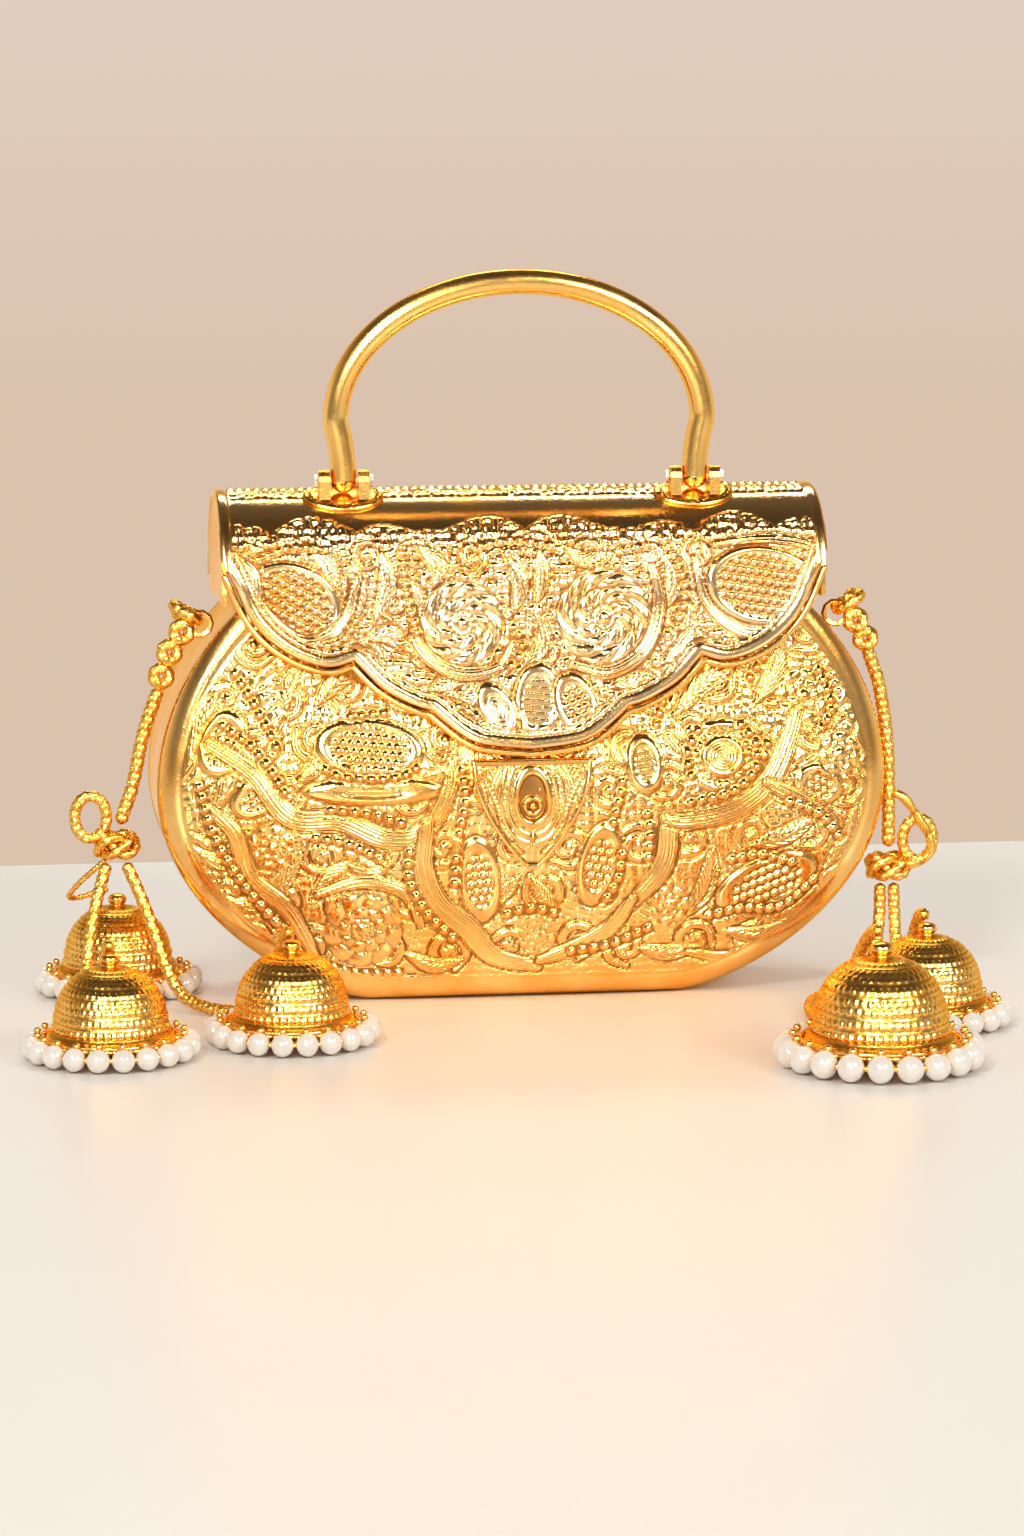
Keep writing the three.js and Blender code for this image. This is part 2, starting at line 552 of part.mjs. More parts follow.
// Outer face of the lid's front: on the roll above the mouth line, on the flap below it
const rollDepth = (z) => Math.sqrt(Math.max(0, ROLL_RADIUS ** 2 - (z - MOUTH_Z) ** 2));
const lidDepth = (z) => (z > MOUTH_Z ? rollDepth(z) : flapDepth(z));
const lidPoint = (x, z, lift = 0) => {
  const depth = lidDepth(z);
  const out = z > MOUTH_Z ? vec(0, -depth, z - MOUTH_Z).normalize() : vec(0, -1, 0);
  return vec(x, -depth, z).addScaledVector(out, lift);
};

// Lid shell: a profile that runs from the back edge over the roll and down the flap to its scalloped edge
const COMMON_TURN = THREE.MathUtils.degToRad(150);
const ROLL_ROWS = 8;
const FLAP_ROWS = 5;
function lidSheet(inset) {
  return (x, row) => {
    const radius = ROLL_RADIUS - inset;
    const rollPoint = (turn) => vec(x, radius * Math.cos(turn), MOUTH_Z + radius * Math.sin(turn));
    if (row <= ROLL_ROWS) return rollPoint((COMMON_TURN * row) / ROLL_ROWS);
    const edge = edgeHeight(x);
    const endTurn = Math.PI - Math.asin(Math.max(0, edge - MOUTH_Z) / ROLL_RADIUS);
    const rollLeft = ROLL_RADIUS * (endTurn - COMMON_TURN);
    const total = rollLeft + Math.max(0, MOUTH_Z - edge);
    const travel = (total * (row - ROLL_ROWS)) / FLAP_ROWS;
    if (travel <= rollLeft) return rollPoint(COMMON_TURN + travel / ROLL_RADIUS);
    const z = MOUTH_Z - (travel - rollLeft);
    return vec(x, inset - flapDepth(z), z);
  };
}
const lidColumns = [0, 0.11, 0.206, 0.28, 0.327, 0.39, 0.484, 0.574, 0.654, 0.75, 0.835, 0.902, 0.95,
  1].map((share) => share * LID_HALF_WIDTH);
const lidAcross = [...lidColumns.slice(1).map((x) => -x).toReversed(), ...lidColumns];
const lidSheetBody = sheetBody(lidSheet(0), lidSheet(SHEET), lidAcross, span(0, ROLL_ROWS + FLAP_ROWS,
  ROLL_ROWS + FLAP_ROWS));

// Embossing of the lid: two spiral flowers, pods in the corner lobes, leaves and beads
const LID_LINES = [
  spiralLine(-19, 103, 11, 1.4, 2.6),
  spiralLine(22, 103, 13, 1.6, 0.4),
  [[-79, 121], [-70, 110], [-62, 103], [-52, 99]],
  [[-45, 122], [-40, 112], [-44, 104], [-41, 96]],
  [[-36, 101], [-31, 96], [-24, 90]],
  [[-70, 126], [-60, 122], [-50, 126]],
  [[40, 124], [47, 115], [50, 106], [57, 99.5]],
  [[-6, 118], [0, 110], [2, 98], [0, 92]],
  [[6, 122], [14, 119], [22, 122]],
];
const LID_LOOPS = [
  ovalLine(62, 112.5, 12, 8, -0.15),
  ovalLine(-3.5, 82, 5.5, 8.5, -0.1),
  ovalLine(8, 81, 4.6, 7.6, 0.35),
];
const LID_BEADS = [
  ...span(-74, -54, 4).map((x) => [x, 116 + 0.25 * (x + 64)]),
  ...span(-70, -54, 3).map((x) => [x, 107 - 0.3 * (x + 62)]),
  ...span(-2.4, 2.4, 6).map((turn) => [22 + 6 * Math.cos(turn), 103 + 6 * Math.sin(turn)]),
  ...span(56, 74, 3).map((x) => [x, 113 - 0.2 * (x - 64)]),
  ...span(58, 72, 2).map((x) => [x, 107]),
  ...span(-36, -14, 3).map((x) => [x, 87 - 0.35 * (x + 12)]),
  ...span(18, 38, 3).map((x) => [x, 84 + 0.35 * (x - 16)]),
];
const lidPattern = (x, z, lift) => lidPoint(
  (x * LID_HALF_WIDTH) / DRAWN.lidHalf,
  MOUTH_Z + ((z - DRAWN.mouthZ) * (MOUTH_Z - FLAP_TIP_Z)) / (DRAWN.mouthZ - DRAWN.tipZ),
  lift,
);
add('lid_shell', embossed(lidSheetBody, lidPattern, LID_LINES, LID_LOOPS, LID_BEADS), GOLD);

// Edge wire: follows the scalloped edge just outside it
const EDGE_WIRE_STEPS = 46;
const edgeLine = lidAcross.map((x) => new THREE.Vector2(x, edgeHeight(x)));
const CORNER_ROOM = 0.1;
const wireReach = GAP + EDGE_WIRE_RADIUS + CORNER_ROOM;
const besideEdge = edgeLine.slice(1).flatMap((point, i) => {
  const along = point.clone().sub(edgeLine[i]).normalize();
  const out = new THREE.Vector2(along.y, -along.x).multiplyScalar(wireReach);
  return [0.1, 0.5, 0.9].map((share) => edgeLine[i].clone().lerp(point, share).add(out));
});
const distanceToLine = (point) => Math.min(...edgeLine.slice(1).map((end, i) => {
  const start = edgeLine[i];
  const run = end.clone().sub(start);
  const share = THREE.MathUtils.clamp(point.clone().sub(start).dot(run) / run.lengthSq(), 0, 1);
  return start.clone().addScaledVector(run, share).distanceTo(point);
}));
const wirePath = besideEdge.filter((point) => distanceToLine(point) > wireReach - 0.02)
  .map(({ x, y }) => lidPoint(x, y, -SHEET / 2));
add('lid_edge_wire', tube(wirePath, EDGE_WIRE_RADIUS, 5, EDGE_WIRE_STEPS), GOLD_SMOOTH);

// Lid ends: flat plates that close the roll and reach a little below the mouth
const endRadius = ROLL_RADIUS - SHEET / 2 - EDGE_WIRE_RADIUS - 2 * GAP;
const endShape = shapeOf([
  [endRadius, MOUTH_Z - LID_END_DROP],
  ...span(0, 180, 14).map((turn) => polar(endRadius, turn)),
  [-endRadius, MOUTH_Z - LID_END_DROP],
]);
for (const [word, side] of [['left', -1], ['right', 1]]) {
  const x = side * (LID_HALF_WIDTH - GAP - SHEET / 2);
  add(`lid_end_${word}`, slab(endShape, SHEET, sideFrame, vec(x, 0, 0)), GOLD_SMOOTH);
}

// Magnet: a disc on the inner face of the flap, which meets the front plate
const flapSlope = (flapDepth(MAGNET_Z - 1) - flapDepth(MAGNET_Z + 1)) / 2;
const magnetDepth = flapDepth(MAGNET_Z) - SHEET - FLAP_STANDOFF / 2;
add('clasp_magnet', new THREE.CylinderGeometry(MAGNET_RADIUS, MAGNET_RADIUS, MAGNET_THICKNESS, 14)
  .rotateX(-Math.atan(flapSlope)).translate(0, -magnetDepth, MAGNET_Z), STEEL);

// Handle bases: oval plates bent over the roll, each with two lugs that hold the handle's pin
const pivotTurn = Math.atan2(PIVOT_Z - MOUTH_Z, PIVOT_Y);
function baseSheet(centreX, radius, crown) {
  return (turn, share) => {
    const bend = pivotTurn + (share * BASE_HALF_DEPTH * Math.sin(turn)) / ROLL_RADIUS;
    const reach = radius + crown * (1 - share ** 4);
    const x = centreX + share * BASE_HALF_WIDTH * Math.cos(turn);
    return vec(x, reach * Math.cos(bend), MOUTH_Z + reach * Math.sin(bend));
  };
}
const baseInner = ROLL_RADIUS + GAP;
const BASE_RIM = 0.5;
const baseOuter = baseInner + BASE_THICKNESS;
const lugFoot = (y) => [y, MOUTH_Z + Math.sqrt((baseOuter + GAP) ** 2 - y ** 2)];
const lugShape = shapeOf([
  lugFoot(PIVOT_Y + LUG_RADIUS),
  ...span(0, Math.PI, 6).map((turn) => [
    PIVOT_Y + LUG_RADIUS * Math.cos(turn), PIVOT_Z + LUG_RADIUS * Math.sin(turn),
  ]),
  lugFoot(PIVOT_Y - LUG_RADIUS), lugFoot(PIVOT_Y),
]);
const pinBore = HANDLE_PIN_RADIUS + GAP;
lugShape.holes.push(new THREE.Path(roundSection(pinBore, 8).getPoints().toReversed()
  .map(({ x, y }) => new THREE.Vector2(PIVOT_Y + x, PIVOT_Z + y))));
const lugInner = HANDLE_RADIUS + TURNING_GAP;
const lugOuter = lugInner + LUG_WIDTH;
const headInner = lugOuter + GAP;

for (const [word, side] of [['left', -1], ['right', 1]]) {
  const footX = side * HANDLE_FOOT_X;
  const turns = span(0, 2 * Math.PI, 14).slice(1);
  const outer = baseSheet(footX, baseInner + BASE_RIM, BASE_THICKNESS - BASE_RIM);
  const under = baseSheet(footX, baseInner, 0);
  add(`handle_base_${word}`, sheetBody(outer, under, turns, [0, 0.5, 0.85, 1], true), GOLD);
  for (const [place, towards] of [['inner', -side], ['outer', side]]) {
    const x = footX + towards * (lugInner + LUG_WIDTH / 2);
    add(`handle_eye_${word}_${place}`, slab(lugShape, LUG_WIDTH, sideFrame, vec(x, 0, 0)), GOLD_SMOOTH);
  }
  const headOuter = headInner + PIN_HEAD_WIDTH;
  const profile = [
    [0, -headOuter], [PIN_HEAD_RADIUS, -headOuter], [PIN_HEAD_RADIUS, -headInner],
    [HANDLE_PIN_RADIUS, -headInner], [HANDLE_PIN_RADIUS, headInner],
    [PIN_HEAD_RADIUS, headInner], [PIN_HEAD_RADIUS, headOuter], [0, headOuter],
  ];
  const pin = new THREE.LatheGeometry(profile.map(([x, y]) => new THREE.Vector2(x, y)), 8);
  add(`handle_pin_${word}`, pin.rotateZ(Math.PI / 2).translate(footX, PIVOT_Y, PIVOT_Z), STEEL);
}

// Handle bow: a round rod in a half ellipse with slightly drawn-in feet, drilled for the two pins
const archPoints = span(0, Math.PI, 16).map((turn) => vec(
  HANDLE_HALF_WIDTH * Math.cos(turn), PIVOT_Y, HANDLE_ARCH_Z + HANDLE_ARCH * Math.sin(turn)));
const footPoint = (side, share) => {
  const x = HANDLE_FOOT_X + (HANDLE_HALF_WIDTH - HANDLE_FOOT_X) * share ** 2;
  return vec(side * x, PIVOT_Y, PIVOT_Z + (HANDLE_ARCH_Z - PIVOT_Z) * share);
};
const footShares = [0, 0.35, 0.7];
const bowPath = [
  ...footShares.map((share) => footPoint(1, share)), ...archPoints,
  ...footShares.toReversed().map((share) => footPoint(-1, share)),
];
const footBall = (side) => solidOf(new THREE.SphereGeometry(HANDLE_RADIUS, 8, 6)
  .translate(side * HANDLE_FOOT_X, PIVOT_Y, PIVOT_Z));
const footBore = (side) => (
  solidOf(across(pinBore, 4 * HANDLE_RADIUS, side * HANDLE_FOOT_X, PIVOT_Y, PIVOT_Z, 8))
);
add('handle_bow', joined([solidOf(tube(bowPath, HANDLE_RADIUS, 8, 24)), footBall(1), footBall(-1)])
  .subtract(footBore(1)).subtract(footBore(-1)), GOLD_SMOOTH);

// Tassels: rope routes, points chosen by hand, each from its upper end to its lower end
const HITCH_LOBES = {
  left: [[-91.2, EYE_Y, 105.8], [-94, EYE_Y - 3, 100], [-97.8, EYE_Y - 2.4, 91]],
  right: [[91.2, EYE_Y, 105.8], [94, EYE_Y - 3, 100]],
};
const ROUTES = {
  cord_left: [
    [-99, -13.2, 85.6], [-100.6, -13, 81], [-102.4, -13, 76], [-104, -13, 70], [-105.2, -13, 64],
    [-106.6, -13, 58], [-108.4, -13, 53], [-109.9, -13, 48.6],
  ],
  cord_right: [
    [95.9, -13.8, 93.6], [97.6, -13.4, 89], [99.4, -13.2, 84], [100.8, -13, 77], [101.9, -13, 70],
    [102.5, -13.2, 62], [102.7, -13.4, 54], [102.8, -13.5, 46], [102.8, -13.5, 37.4],
  ],
  strand_left_a: [
    [-113.5, -14, 38.2], [-116.1, -16.2, 30], [-118.4, -19.2, 20], [-119.8, -23, 10.5], [-120.4, -28.2, 4],
    [-120.5, -35, 1.9], [-120.2, -43.2, 1.85], [-119.2, -50, 1.85], [-118.2, -56.3, 3.4],
    [-117.5, -61, 8.8], [-117.2, -65, 15.4], [-116.9, -69.6, 22], [-116.7, -74.6, 26.8],
    [-116.7, -79.2, 28.4],
  ],
  strand_left_b: [
    [-108.5, -14, 38.2], [-104.9, -16.3, 30], [-101.3, -19.9, 20], [-98.2, -24.2, 10.5], [-94.1, -29.2, 4],
    [-88.4, -34.7, 1.9], [-82.3, -39.8, 1.85], [-77.1, -44.5, 3], [-74, -48.8, 8.8], [-71.9, -53, 15],
    [-70.4, -57.5, 21.8], [-69.4, -62.4, 26.3], [-68.8, -67.1, 28.4],
  ],
  thread_left: [
    [-113.6, -10.4, 38.6], [-117.7, -9, 34.8], [-121.7, -6.5, 30.6], [-123.4, -3, 27.4], [-122, 0.2, 26.2],
    [-118.2, 1.8, 26.6], [-114.8, 2, 27.7], [-112.3, 2, 27.9],
  ],
  strand_right_a: [
    [100.6, -13.5, 27.2], [100.4, -14, 18], [98.8, -17, 10], [95, -23, 4], [89, -30, 1.9],
    [82, -38, 1.85], [75.5, -47, 1.85], [72.2, -57, 1.85], [71.4, -67, 1.85], [72.6, -77, 3.4],
    [74.4, -84, 9], [75.8, -90, 16.4], [76.8, -96.5, 24], [77.5, -104, 30], [77.9, -111, 33.2],
    [78, -114.6, 33.6],
  ],
  strand_right_b: [
    [104.4, -13.5, 27.2], [104.6, -14.5, 18], [104.4, -18, 10.5], [103.8, -24, 5], [103.2, -31, 3],
    [102.6, -37.5, 5], [102, -43.5, 10], [101.6, -49, 16.5], [101.3, -55, 22.6], [101.1, -61, 27],
    [101, -67, 28.4],
  ],
};
const ROUTE_RADII = { thread_left: THREAD_RADIUS, cord_left: ROPE_RADIUS, cord_right: ROPE_RADIUS };
for (const [name, route] of Object.entries(ROUTES)) {
  const radius = ROUTE_RADII[name] ?? STRAND_RADIUS;
  const points = route.map(([x, y, z]) => vec(x, y, z));
  const path = new THREE.CatmullRomCurve3(points, false, 'centripetal');
  const steps = Math.max(6, Math.round(path.getLength() / (5 * radius)));
  add(name, tube(points, radius, radius > THREAD_RADIUS ? 8 : 6, steps), GOLD_ROPE);
}

// Hitches: loops of rope, the first one linked through the side eye
const LOBE_RADIUS = 4.5;
const HITCH_ROPE = 0.88 * ROPE_RADIUS;
for (const [word, lobes] of Object.entries(HITCH_LOBES)) {
  const side = Math.sign(lobes[0][0]);
  const lean = -side * Math.atan2(eyeOut.y, eyeOut.x);
  const loops = lobes.map(([x, y, z], i) => {
    const loop = new THREE.TorusGeometry(LOBE_RADIUS - 0.6 * i, HITCH_ROPE, 6, 12);
    return solidOf(loop.rotateX(i ? Math.PI / 2 : 0).rotateY(i ? 0 : lean).translate(x, y, z));
  });
  add(`hitch_${word}`, joined(loops), GOLD_ROPE);
}

// Knots: a wrapped ball of rope with a loop standing up from it
const KNOTS = { left: [[-111, 43.2], [-117.8, 51]], right: [[102.6, 32], [110.9, 39.5]] };
for (const [word, [[x, z], [loopX, loopZ]]] of Object.entries(KNOTS)) {
  const ball = new THREE.SphereGeometry(5, 10, 6).scale(1.28, 1.1, 0.9).translate(x, -13.4, z);
  const loop = new THREE.TorusGeometry(4.3, ROPE_RADIUS * 0.85, 6, 12).scale(1, 1.35, 1).rotateX(Math.PI / 2)
    .translate(loopX, -14.5, loopZ);
  add(`knot_${word}`, solidOf(ball).add(solidOf(loop)), GOLD_ROPE);
}

// Bells: thin domes with a flared rim, a bead on top, and a ring of pearls on a wire round the rim
const BELLS = {
  left_a: [-116.7, -82.2, 1], left_b: [-68.7, -70.1, 1], left_c: [-110, 2, 1], right_a: [78, -118, 1.18],
  right_b: [101, -70, 1],
};
const BELL_PROFILE = [
  [17.2, 3.6], [17.2, 4.9], [14.8, 7.2], [14.5, 11], [12.6, 17], [8.2, 21.6], [2.4, 23.4],
];
const BELL_KNOB = [[2.4, 24.4], [2.4, 26.4], [0, 26.8]];
for (const [word, [x, y, size]] of Object.entries(BELLS)) {
  const outside = [...BELL_PROFILE, ...BELL_KNOB];
  const inside = BELL_PROFILE.slice(2, -1).toReversed()
    .map(([r, z]) => [r - BELL_WALL / size, z - 0.6 * BELL_WALL]);
  const profile = [...inside, [BELL_PROFILE[0][0] - BELL_WALL, BELL_PROFILE[0][1]], ...outside];
  const points = [[0, BELL_PROFILE.at(-1)[1] - 2 * BELL_WALL], ...profile]
    .map(([r, z]) => new THREE.Vector2(r * size, z * size));
  const dome = new THREE.LatheGeometry(points, 14).rotateX(Math.PI / 2).translate(x, y, 0);
  add(`jhumka_${word}`, solidOf(dome), GOLD);

  const ringRadius = PEARL_RING_RADIUS * size;
  const pearl = PEARL_RADIUS * size;
  const centreZ = pearl + FLOOR_GAP;
  const pitch = (2 * Math.PI) / PEARL_COUNT;
  const necks = [0, 0.28, 0.72];
  const radii = [PEARL_WIRE, pearl, pearl];
  const stations = span(0, PEARL_COUNT - 1, PEARL_COUNT - 1).flatMap((i) => necks.map((share) => i + share));
  const section = (station, turn) => {
    const along = station * pitch;
    const radius = radii[necks.indexOf(Number((station % 1).toFixed(2)))];
    const reach = ringRadius + radius * Math.cos(turn);
    return vec(x + reach * Math.cos(along), y + reach * Math.sin(along), centreZ + radius * Math.sin(turn));
  };
  add(`pearls_${word}`, wovenRing(section, stations, 5), PEARL);
}

export default bag;
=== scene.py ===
# %% [markdown]
# # A gold metal potli bag with pearl-edged bell tassels
# The real bag is a small case of thin embossed metal, gilded all over, with a lid that rolls over
# its mouth, a bent rod for a handle and a knitted cord at each end that carries small bell-shaped
# pendants. The CAD model gives every piece its place and its joints. This script dresses it: each
# surface is worked out with numpy from the same formulas as the CAD, only much finer, so the chased
# flowers, the beads and the knitted cords are real shapes that catch the light.

# %% Load the frame
import bpy
import numpy as np
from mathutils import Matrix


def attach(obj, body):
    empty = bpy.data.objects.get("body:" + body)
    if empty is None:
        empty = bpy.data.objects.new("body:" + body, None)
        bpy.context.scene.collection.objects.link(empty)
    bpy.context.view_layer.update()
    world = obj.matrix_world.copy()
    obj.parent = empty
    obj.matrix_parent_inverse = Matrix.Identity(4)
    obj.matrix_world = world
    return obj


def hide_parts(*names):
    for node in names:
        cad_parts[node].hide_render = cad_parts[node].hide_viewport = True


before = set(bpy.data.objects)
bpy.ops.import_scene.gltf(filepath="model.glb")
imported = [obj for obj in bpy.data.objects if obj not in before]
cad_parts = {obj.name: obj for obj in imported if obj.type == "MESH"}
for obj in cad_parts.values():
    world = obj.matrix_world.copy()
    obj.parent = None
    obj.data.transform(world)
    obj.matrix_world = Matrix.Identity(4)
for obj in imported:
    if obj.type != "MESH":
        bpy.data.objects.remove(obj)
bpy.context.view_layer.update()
MM = 0.001

# %% [markdown]
# ## Camera
# The photograph looks at the bag a little from its left and from slightly above, through a long
# lens that hardly bends its outline. A camera could be placed by eye, but here its direction is
# written as two angles round a target point, so that it can be set against the photograph.

# %% Camera
AZIMUTH, ELEVATION, DISTANCE = np.radians(-8.0), np.radians(9.05), 1.3
TARGET = np.array([-0.0007, 0.0, 0.0596])
MM_PER_PIXEL, LONG_SIDE = 0.2765, 1536


def camera_direction(azimuth, elevation):
    """Unit vector from the target to the camera: azimuth turns it from -Y towards +X, elevation lifts it."""
    return np.array([
        np.cos(elevation) * np.sin(azimuth),
        -np.cos(elevation) * np.cos(azimuth),
        np.sin(elevation),
    ])


camera_data = bpy.data.cameras.new("camera")
camera = bpy.data.objects.new("camera", camera_data)
bpy.context.scene.collection.objects.link(camera)
camera.location = TARGET + DISTANCE * camera_direction(AZIMUTH, ELEVATION)
camera.rotation_euler = (np.pi / 2 - ELEVATION, 0.0, AZIMUTH)
camera_data.lens = 36.0 * DISTANCE / (LONG_SIDE * MM_PER_PIXEL * MM)
camera_data.clip_start = 0.01
bpy.context.scene.camera = camera
print("camera at", [round(v, 3) for v in camera.location], "lens", round(camera_data.lens, 1))

# %% [markdown]
# ## Surfaces from numbers
# Nearly every piece here is a grid of points: a sheet, a tube or a turned shape. Blender's own
# primitives could be bent into place, but a grid worked out at once as one array is exact, quick
# and easy to change. One helper turns such a grid into a mesh, and can close it up either way.

# %% Grids of points into meshes
def new_piece(name, vertices, faces, smooth=True):
    """A mesh object at the origin from vertices in millimetres and a list or array of faces."""
    mesh = bpy.data.meshes.new(name)
    points = (np.asarray(vertices, dtype=float) * MM).tolist()
    mesh.from_pydata(points, [], [list(map(int, face)) for face in faces])
    mesh.polygons.foreach_set("use_smooth", [smooth] * len(mesh.polygons))
    mesh.update()
    piece = bpy.data.objects.new(name, mesh)
    bpy.context.scene.collection.objects.link(piece)
    return piece


def grid_faces(rows, columns, close_rows=False, close_columns=False, start=0, flip=False):
    """Corner numbers of the quads of a grid that is stored row by row, closed up where asked."""
    j = np.arange(rows if close_rows else rows - 1)[:, None]
    i = np.arange(columns if close_columns else columns - 1)[None, :]
    up, right = (j + 1) % rows, (i + 1) % columns
    corners = [j * columns + i, j * columns + right, up * columns + right, up * columns + i]
    quads = np.stack([np.broadcast_to(c, (j.size, i.size)) for c in corners], axis=-1).reshape(-1, 4) + start
    return quads[:, ::-1] if flip else quads


def ring_piece(name, surface, closed=False):
    """A closed mesh from rings of points: joined end to end, or with a flat cap on each end ring."""
    rows, columns = surface.shape[:2]
    faces = grid_faces(rows, columns, close_rows=closed, close_columns=True).tolist()
    if not closed:
        faces += [list(range(columns))[::-1], list(range((rows - 1) * columns, rows * columns))]
    return new_piece(name, surface.reshape(-1, 3), faces)


def full_turn(count):
    """Angles of a full turn in even steps, without the last one, which is the first again."""
    return 2 * np.pi * np.arange(count) / count


def round_cap(share):
    """The upper half of a circle: 1 in the middle, 0 where the share is 1 and beyond."""
    return np.sqrt(np.maximum(0, 1 - share ** 2))


def finish_piece(piece, material, body, replaced=()):
    """Gives a piece its material and its CAD body, and hides the CAD nodes that it stands for."""
    piece.data.materials.clear()
    piece.data.materials.append(material)
    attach(piece, body)
    if replaced:
        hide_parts(*replaced)
    return piece


def set_attribute(piece, name, values):
    """Stores one number per vertex, for a material to read."""
    piece.data.attributes.new(name, "FLOAT", "POINT").data.foreach_set("value", np.ravel(values))


def set_uv(piece, along, around):
    """Stores a UV map from one pair of numbers per vertex. Each face corner takes its vertex's pair."""
    layer = piece.data.uv_layers.new(name="UVMap")
    corners = np.zeros(len(piece.data.loops), dtype=np.int32)
    piece.data.loops.foreach_get("vertex_index", corners)
    pairs = np.stack([np.ravel(along), np.ravel(around)], axis=-1)[corners]
    layer.data.foreach_set("uv", pairs.ravel())

# %% [markdown]
# ## Cord paths
# Each tassel hangs on a knitted cord of gilt thread with small metal beads. A cord is a length of
# something limp: it leaves the ring at the bag's end, hangs down the side, goes through its knot,
# and its strands lie down to the bells. The points are the CAD's own route points, joined by a
# curve that passes through all of them without loops.

# %% Cord routes
ROUTES = {
    "cord_left": [
        (-99, -13.2, 85.6), (-100.6, -13, 81), (-102.4, -13, 76), (-104, -13, 70), (-105.2, -13, 64),
        (-106.6, -13, 58), (-108.4, -13, 53), (-109.9, -13, 48.6)],
    "cord_right": [
        (95.9, -13.8, 93.6), (97.6, -13.4, 89), (99.4, -13.2, 84), (100.8, -13, 77), (101.9, -13, 70),
        (102.5, -13.2, 62), (102.7, -13.4, 54), (102.8, -13.5, 46), (102.8, -13.5, 37.4)],
    "strand_left_a": [
        (-113.5, -14, 38.2), (-116.1, -16.2, 30), (-118.4, -19.2, 20), (-119.8, -23, 10.5),
        (-120.4, -28.2, 4), (-120.5, -35, 1.9), (-120.2, -43.2, 1.85), (-119.2, -50, 1.85),
        (-118.2, -56.3, 3.4),
        (-117.5, -61, 8.8), (-117.2, -65, 15.4), (-116.9, -69.6, 22), (-116.7, -74.6, 26.8),
        (-116.7, -79.2, 28.4)],
    "strand_left_b": [
        (-108.5, -14, 38.2), (-104.9, -16.3, 30), (-101.3, -19.9, 20), (-98.2, -24.2, 10.5),
        (-94.1, -29.2, 4), (-88.4, -34.7, 1.9), (-82.3, -39.8, 1.85), (-77.1, -44.5, 3), (-74, -48.8, 8.8),
        (-71.9, -53, 15),
        (-70.4, -57.5, 21.8), (-69.4, -62.4, 26.3), (-68.8, -67.1, 28.4)],
    "thread_left": [
        (-113.6, -10.4, 38.6), (-117.7, -9, 34.8), (-121.7, -6.5, 30.6), (-123.4, -3, 27.4),
        (-122, 0.2, 26.2), (-118.2, 1.8, 26.6), (-114.8, 2, 27.7), (-112.3, 2, 27.9)],
    "strand_right_a": [
        (100.6, -13.5, 27.2), (100.4, -14, 18), (98.8, -17, 10), (95, -23, 4), (89, -30, 1.9),
        (82, -38, 1.85), (75.5, -47, 1.85), (72.2, -57, 1.85), (71.4, -67, 1.85), (72.6, -77, 3.4),
        (74.4, -84, 9), (75.8, -90, 16.4), (76.8, -96.5, 24), (77.5, -104, 30), (77.9, -111, 33.2),
        (78, -114.6, 33.6)],
    "strand_right_b": [
        (104.4, -13.5, 27.2), (104.6, -14.5, 18), (104.4, -18, 10.5), (103.8, -24, 5), (103.2, -31, 3),
        (102.6, -37.5, 5), (102, -43.5, 10), (101.6, -49, 16.5), (101.3, -55, 22.6), (101.1, -61, 27),
        (101, -67, 28.4)],
}
ROPE_RADIUS, STRAND_RADIUS, THREAD_RADIUS = 1.9, 1.7, 0.8


def curve_through(points, step, closed=False):
    """Centripetal Catmull-Rom curve through the points, resampled at an even step along its length.
    Between two points it blends straight runs, weighted by the square roots of the distances."""
    p = np.asarray(points, dtype=float)
    ends = (p[-1:], p[:2]) if closed else (2 * p[:1] - p[1:2], 2 * p[-1:] - p[-2:-1])
    q = np.vstack([ends[0], p, ends[1]])
    knots = np.concatenate([[0], np.cumsum(np.linalg.norm(np.diff(q, axis=0), axis=1) ** 0.5 + 1e-9)])
    pieces = []
    for k in range(1, len(q) - 2):
        t0, t1, t2, t3 = knots[k - 1:k + 3]
        t = np.linspace(t1, t2, 24, endpoint=False)[:, None]
        a1 = (q[k - 1] * (t1 - t) + q[k] * (t - t0)) / (t1 - t0)
        a2 = (q[k] * (t2 - t) + q[k + 1] * (t - t1)) / (t2 - t1)
        a3 = (q[k + 1] * (t3 - t) + q[k + 2] * (t - t2)) / (t3 - t2)
        b1 = (a1 * (t2 - t) + a2 * (t - t0)) / (t2 - t0)
        b2 = (a2 * (t3 - t) + a3 * (t - t1)) / (t3 - t1)
        pieces.append((b1 * (t2 - t) + b2 * (t - t1)) / (t2 - t1))
    dense = np.vstack(pieces + [p[:1] if closed else p[-1:]])
    travel = np.concatenate([[0], np.cumsum(np.linalg.norm(np.diff(dense, axis=0), axis=1))])
    count = max(4, int(np.ceil(travel[-1] / step)))
    even = np.linspace(0, travel[-1], count + 1)[: count if closed else count + 1]
    return np.stack([np.interp(even, travel, dense[:, k]) for k in range(3)], axis=-1), travel[-1]


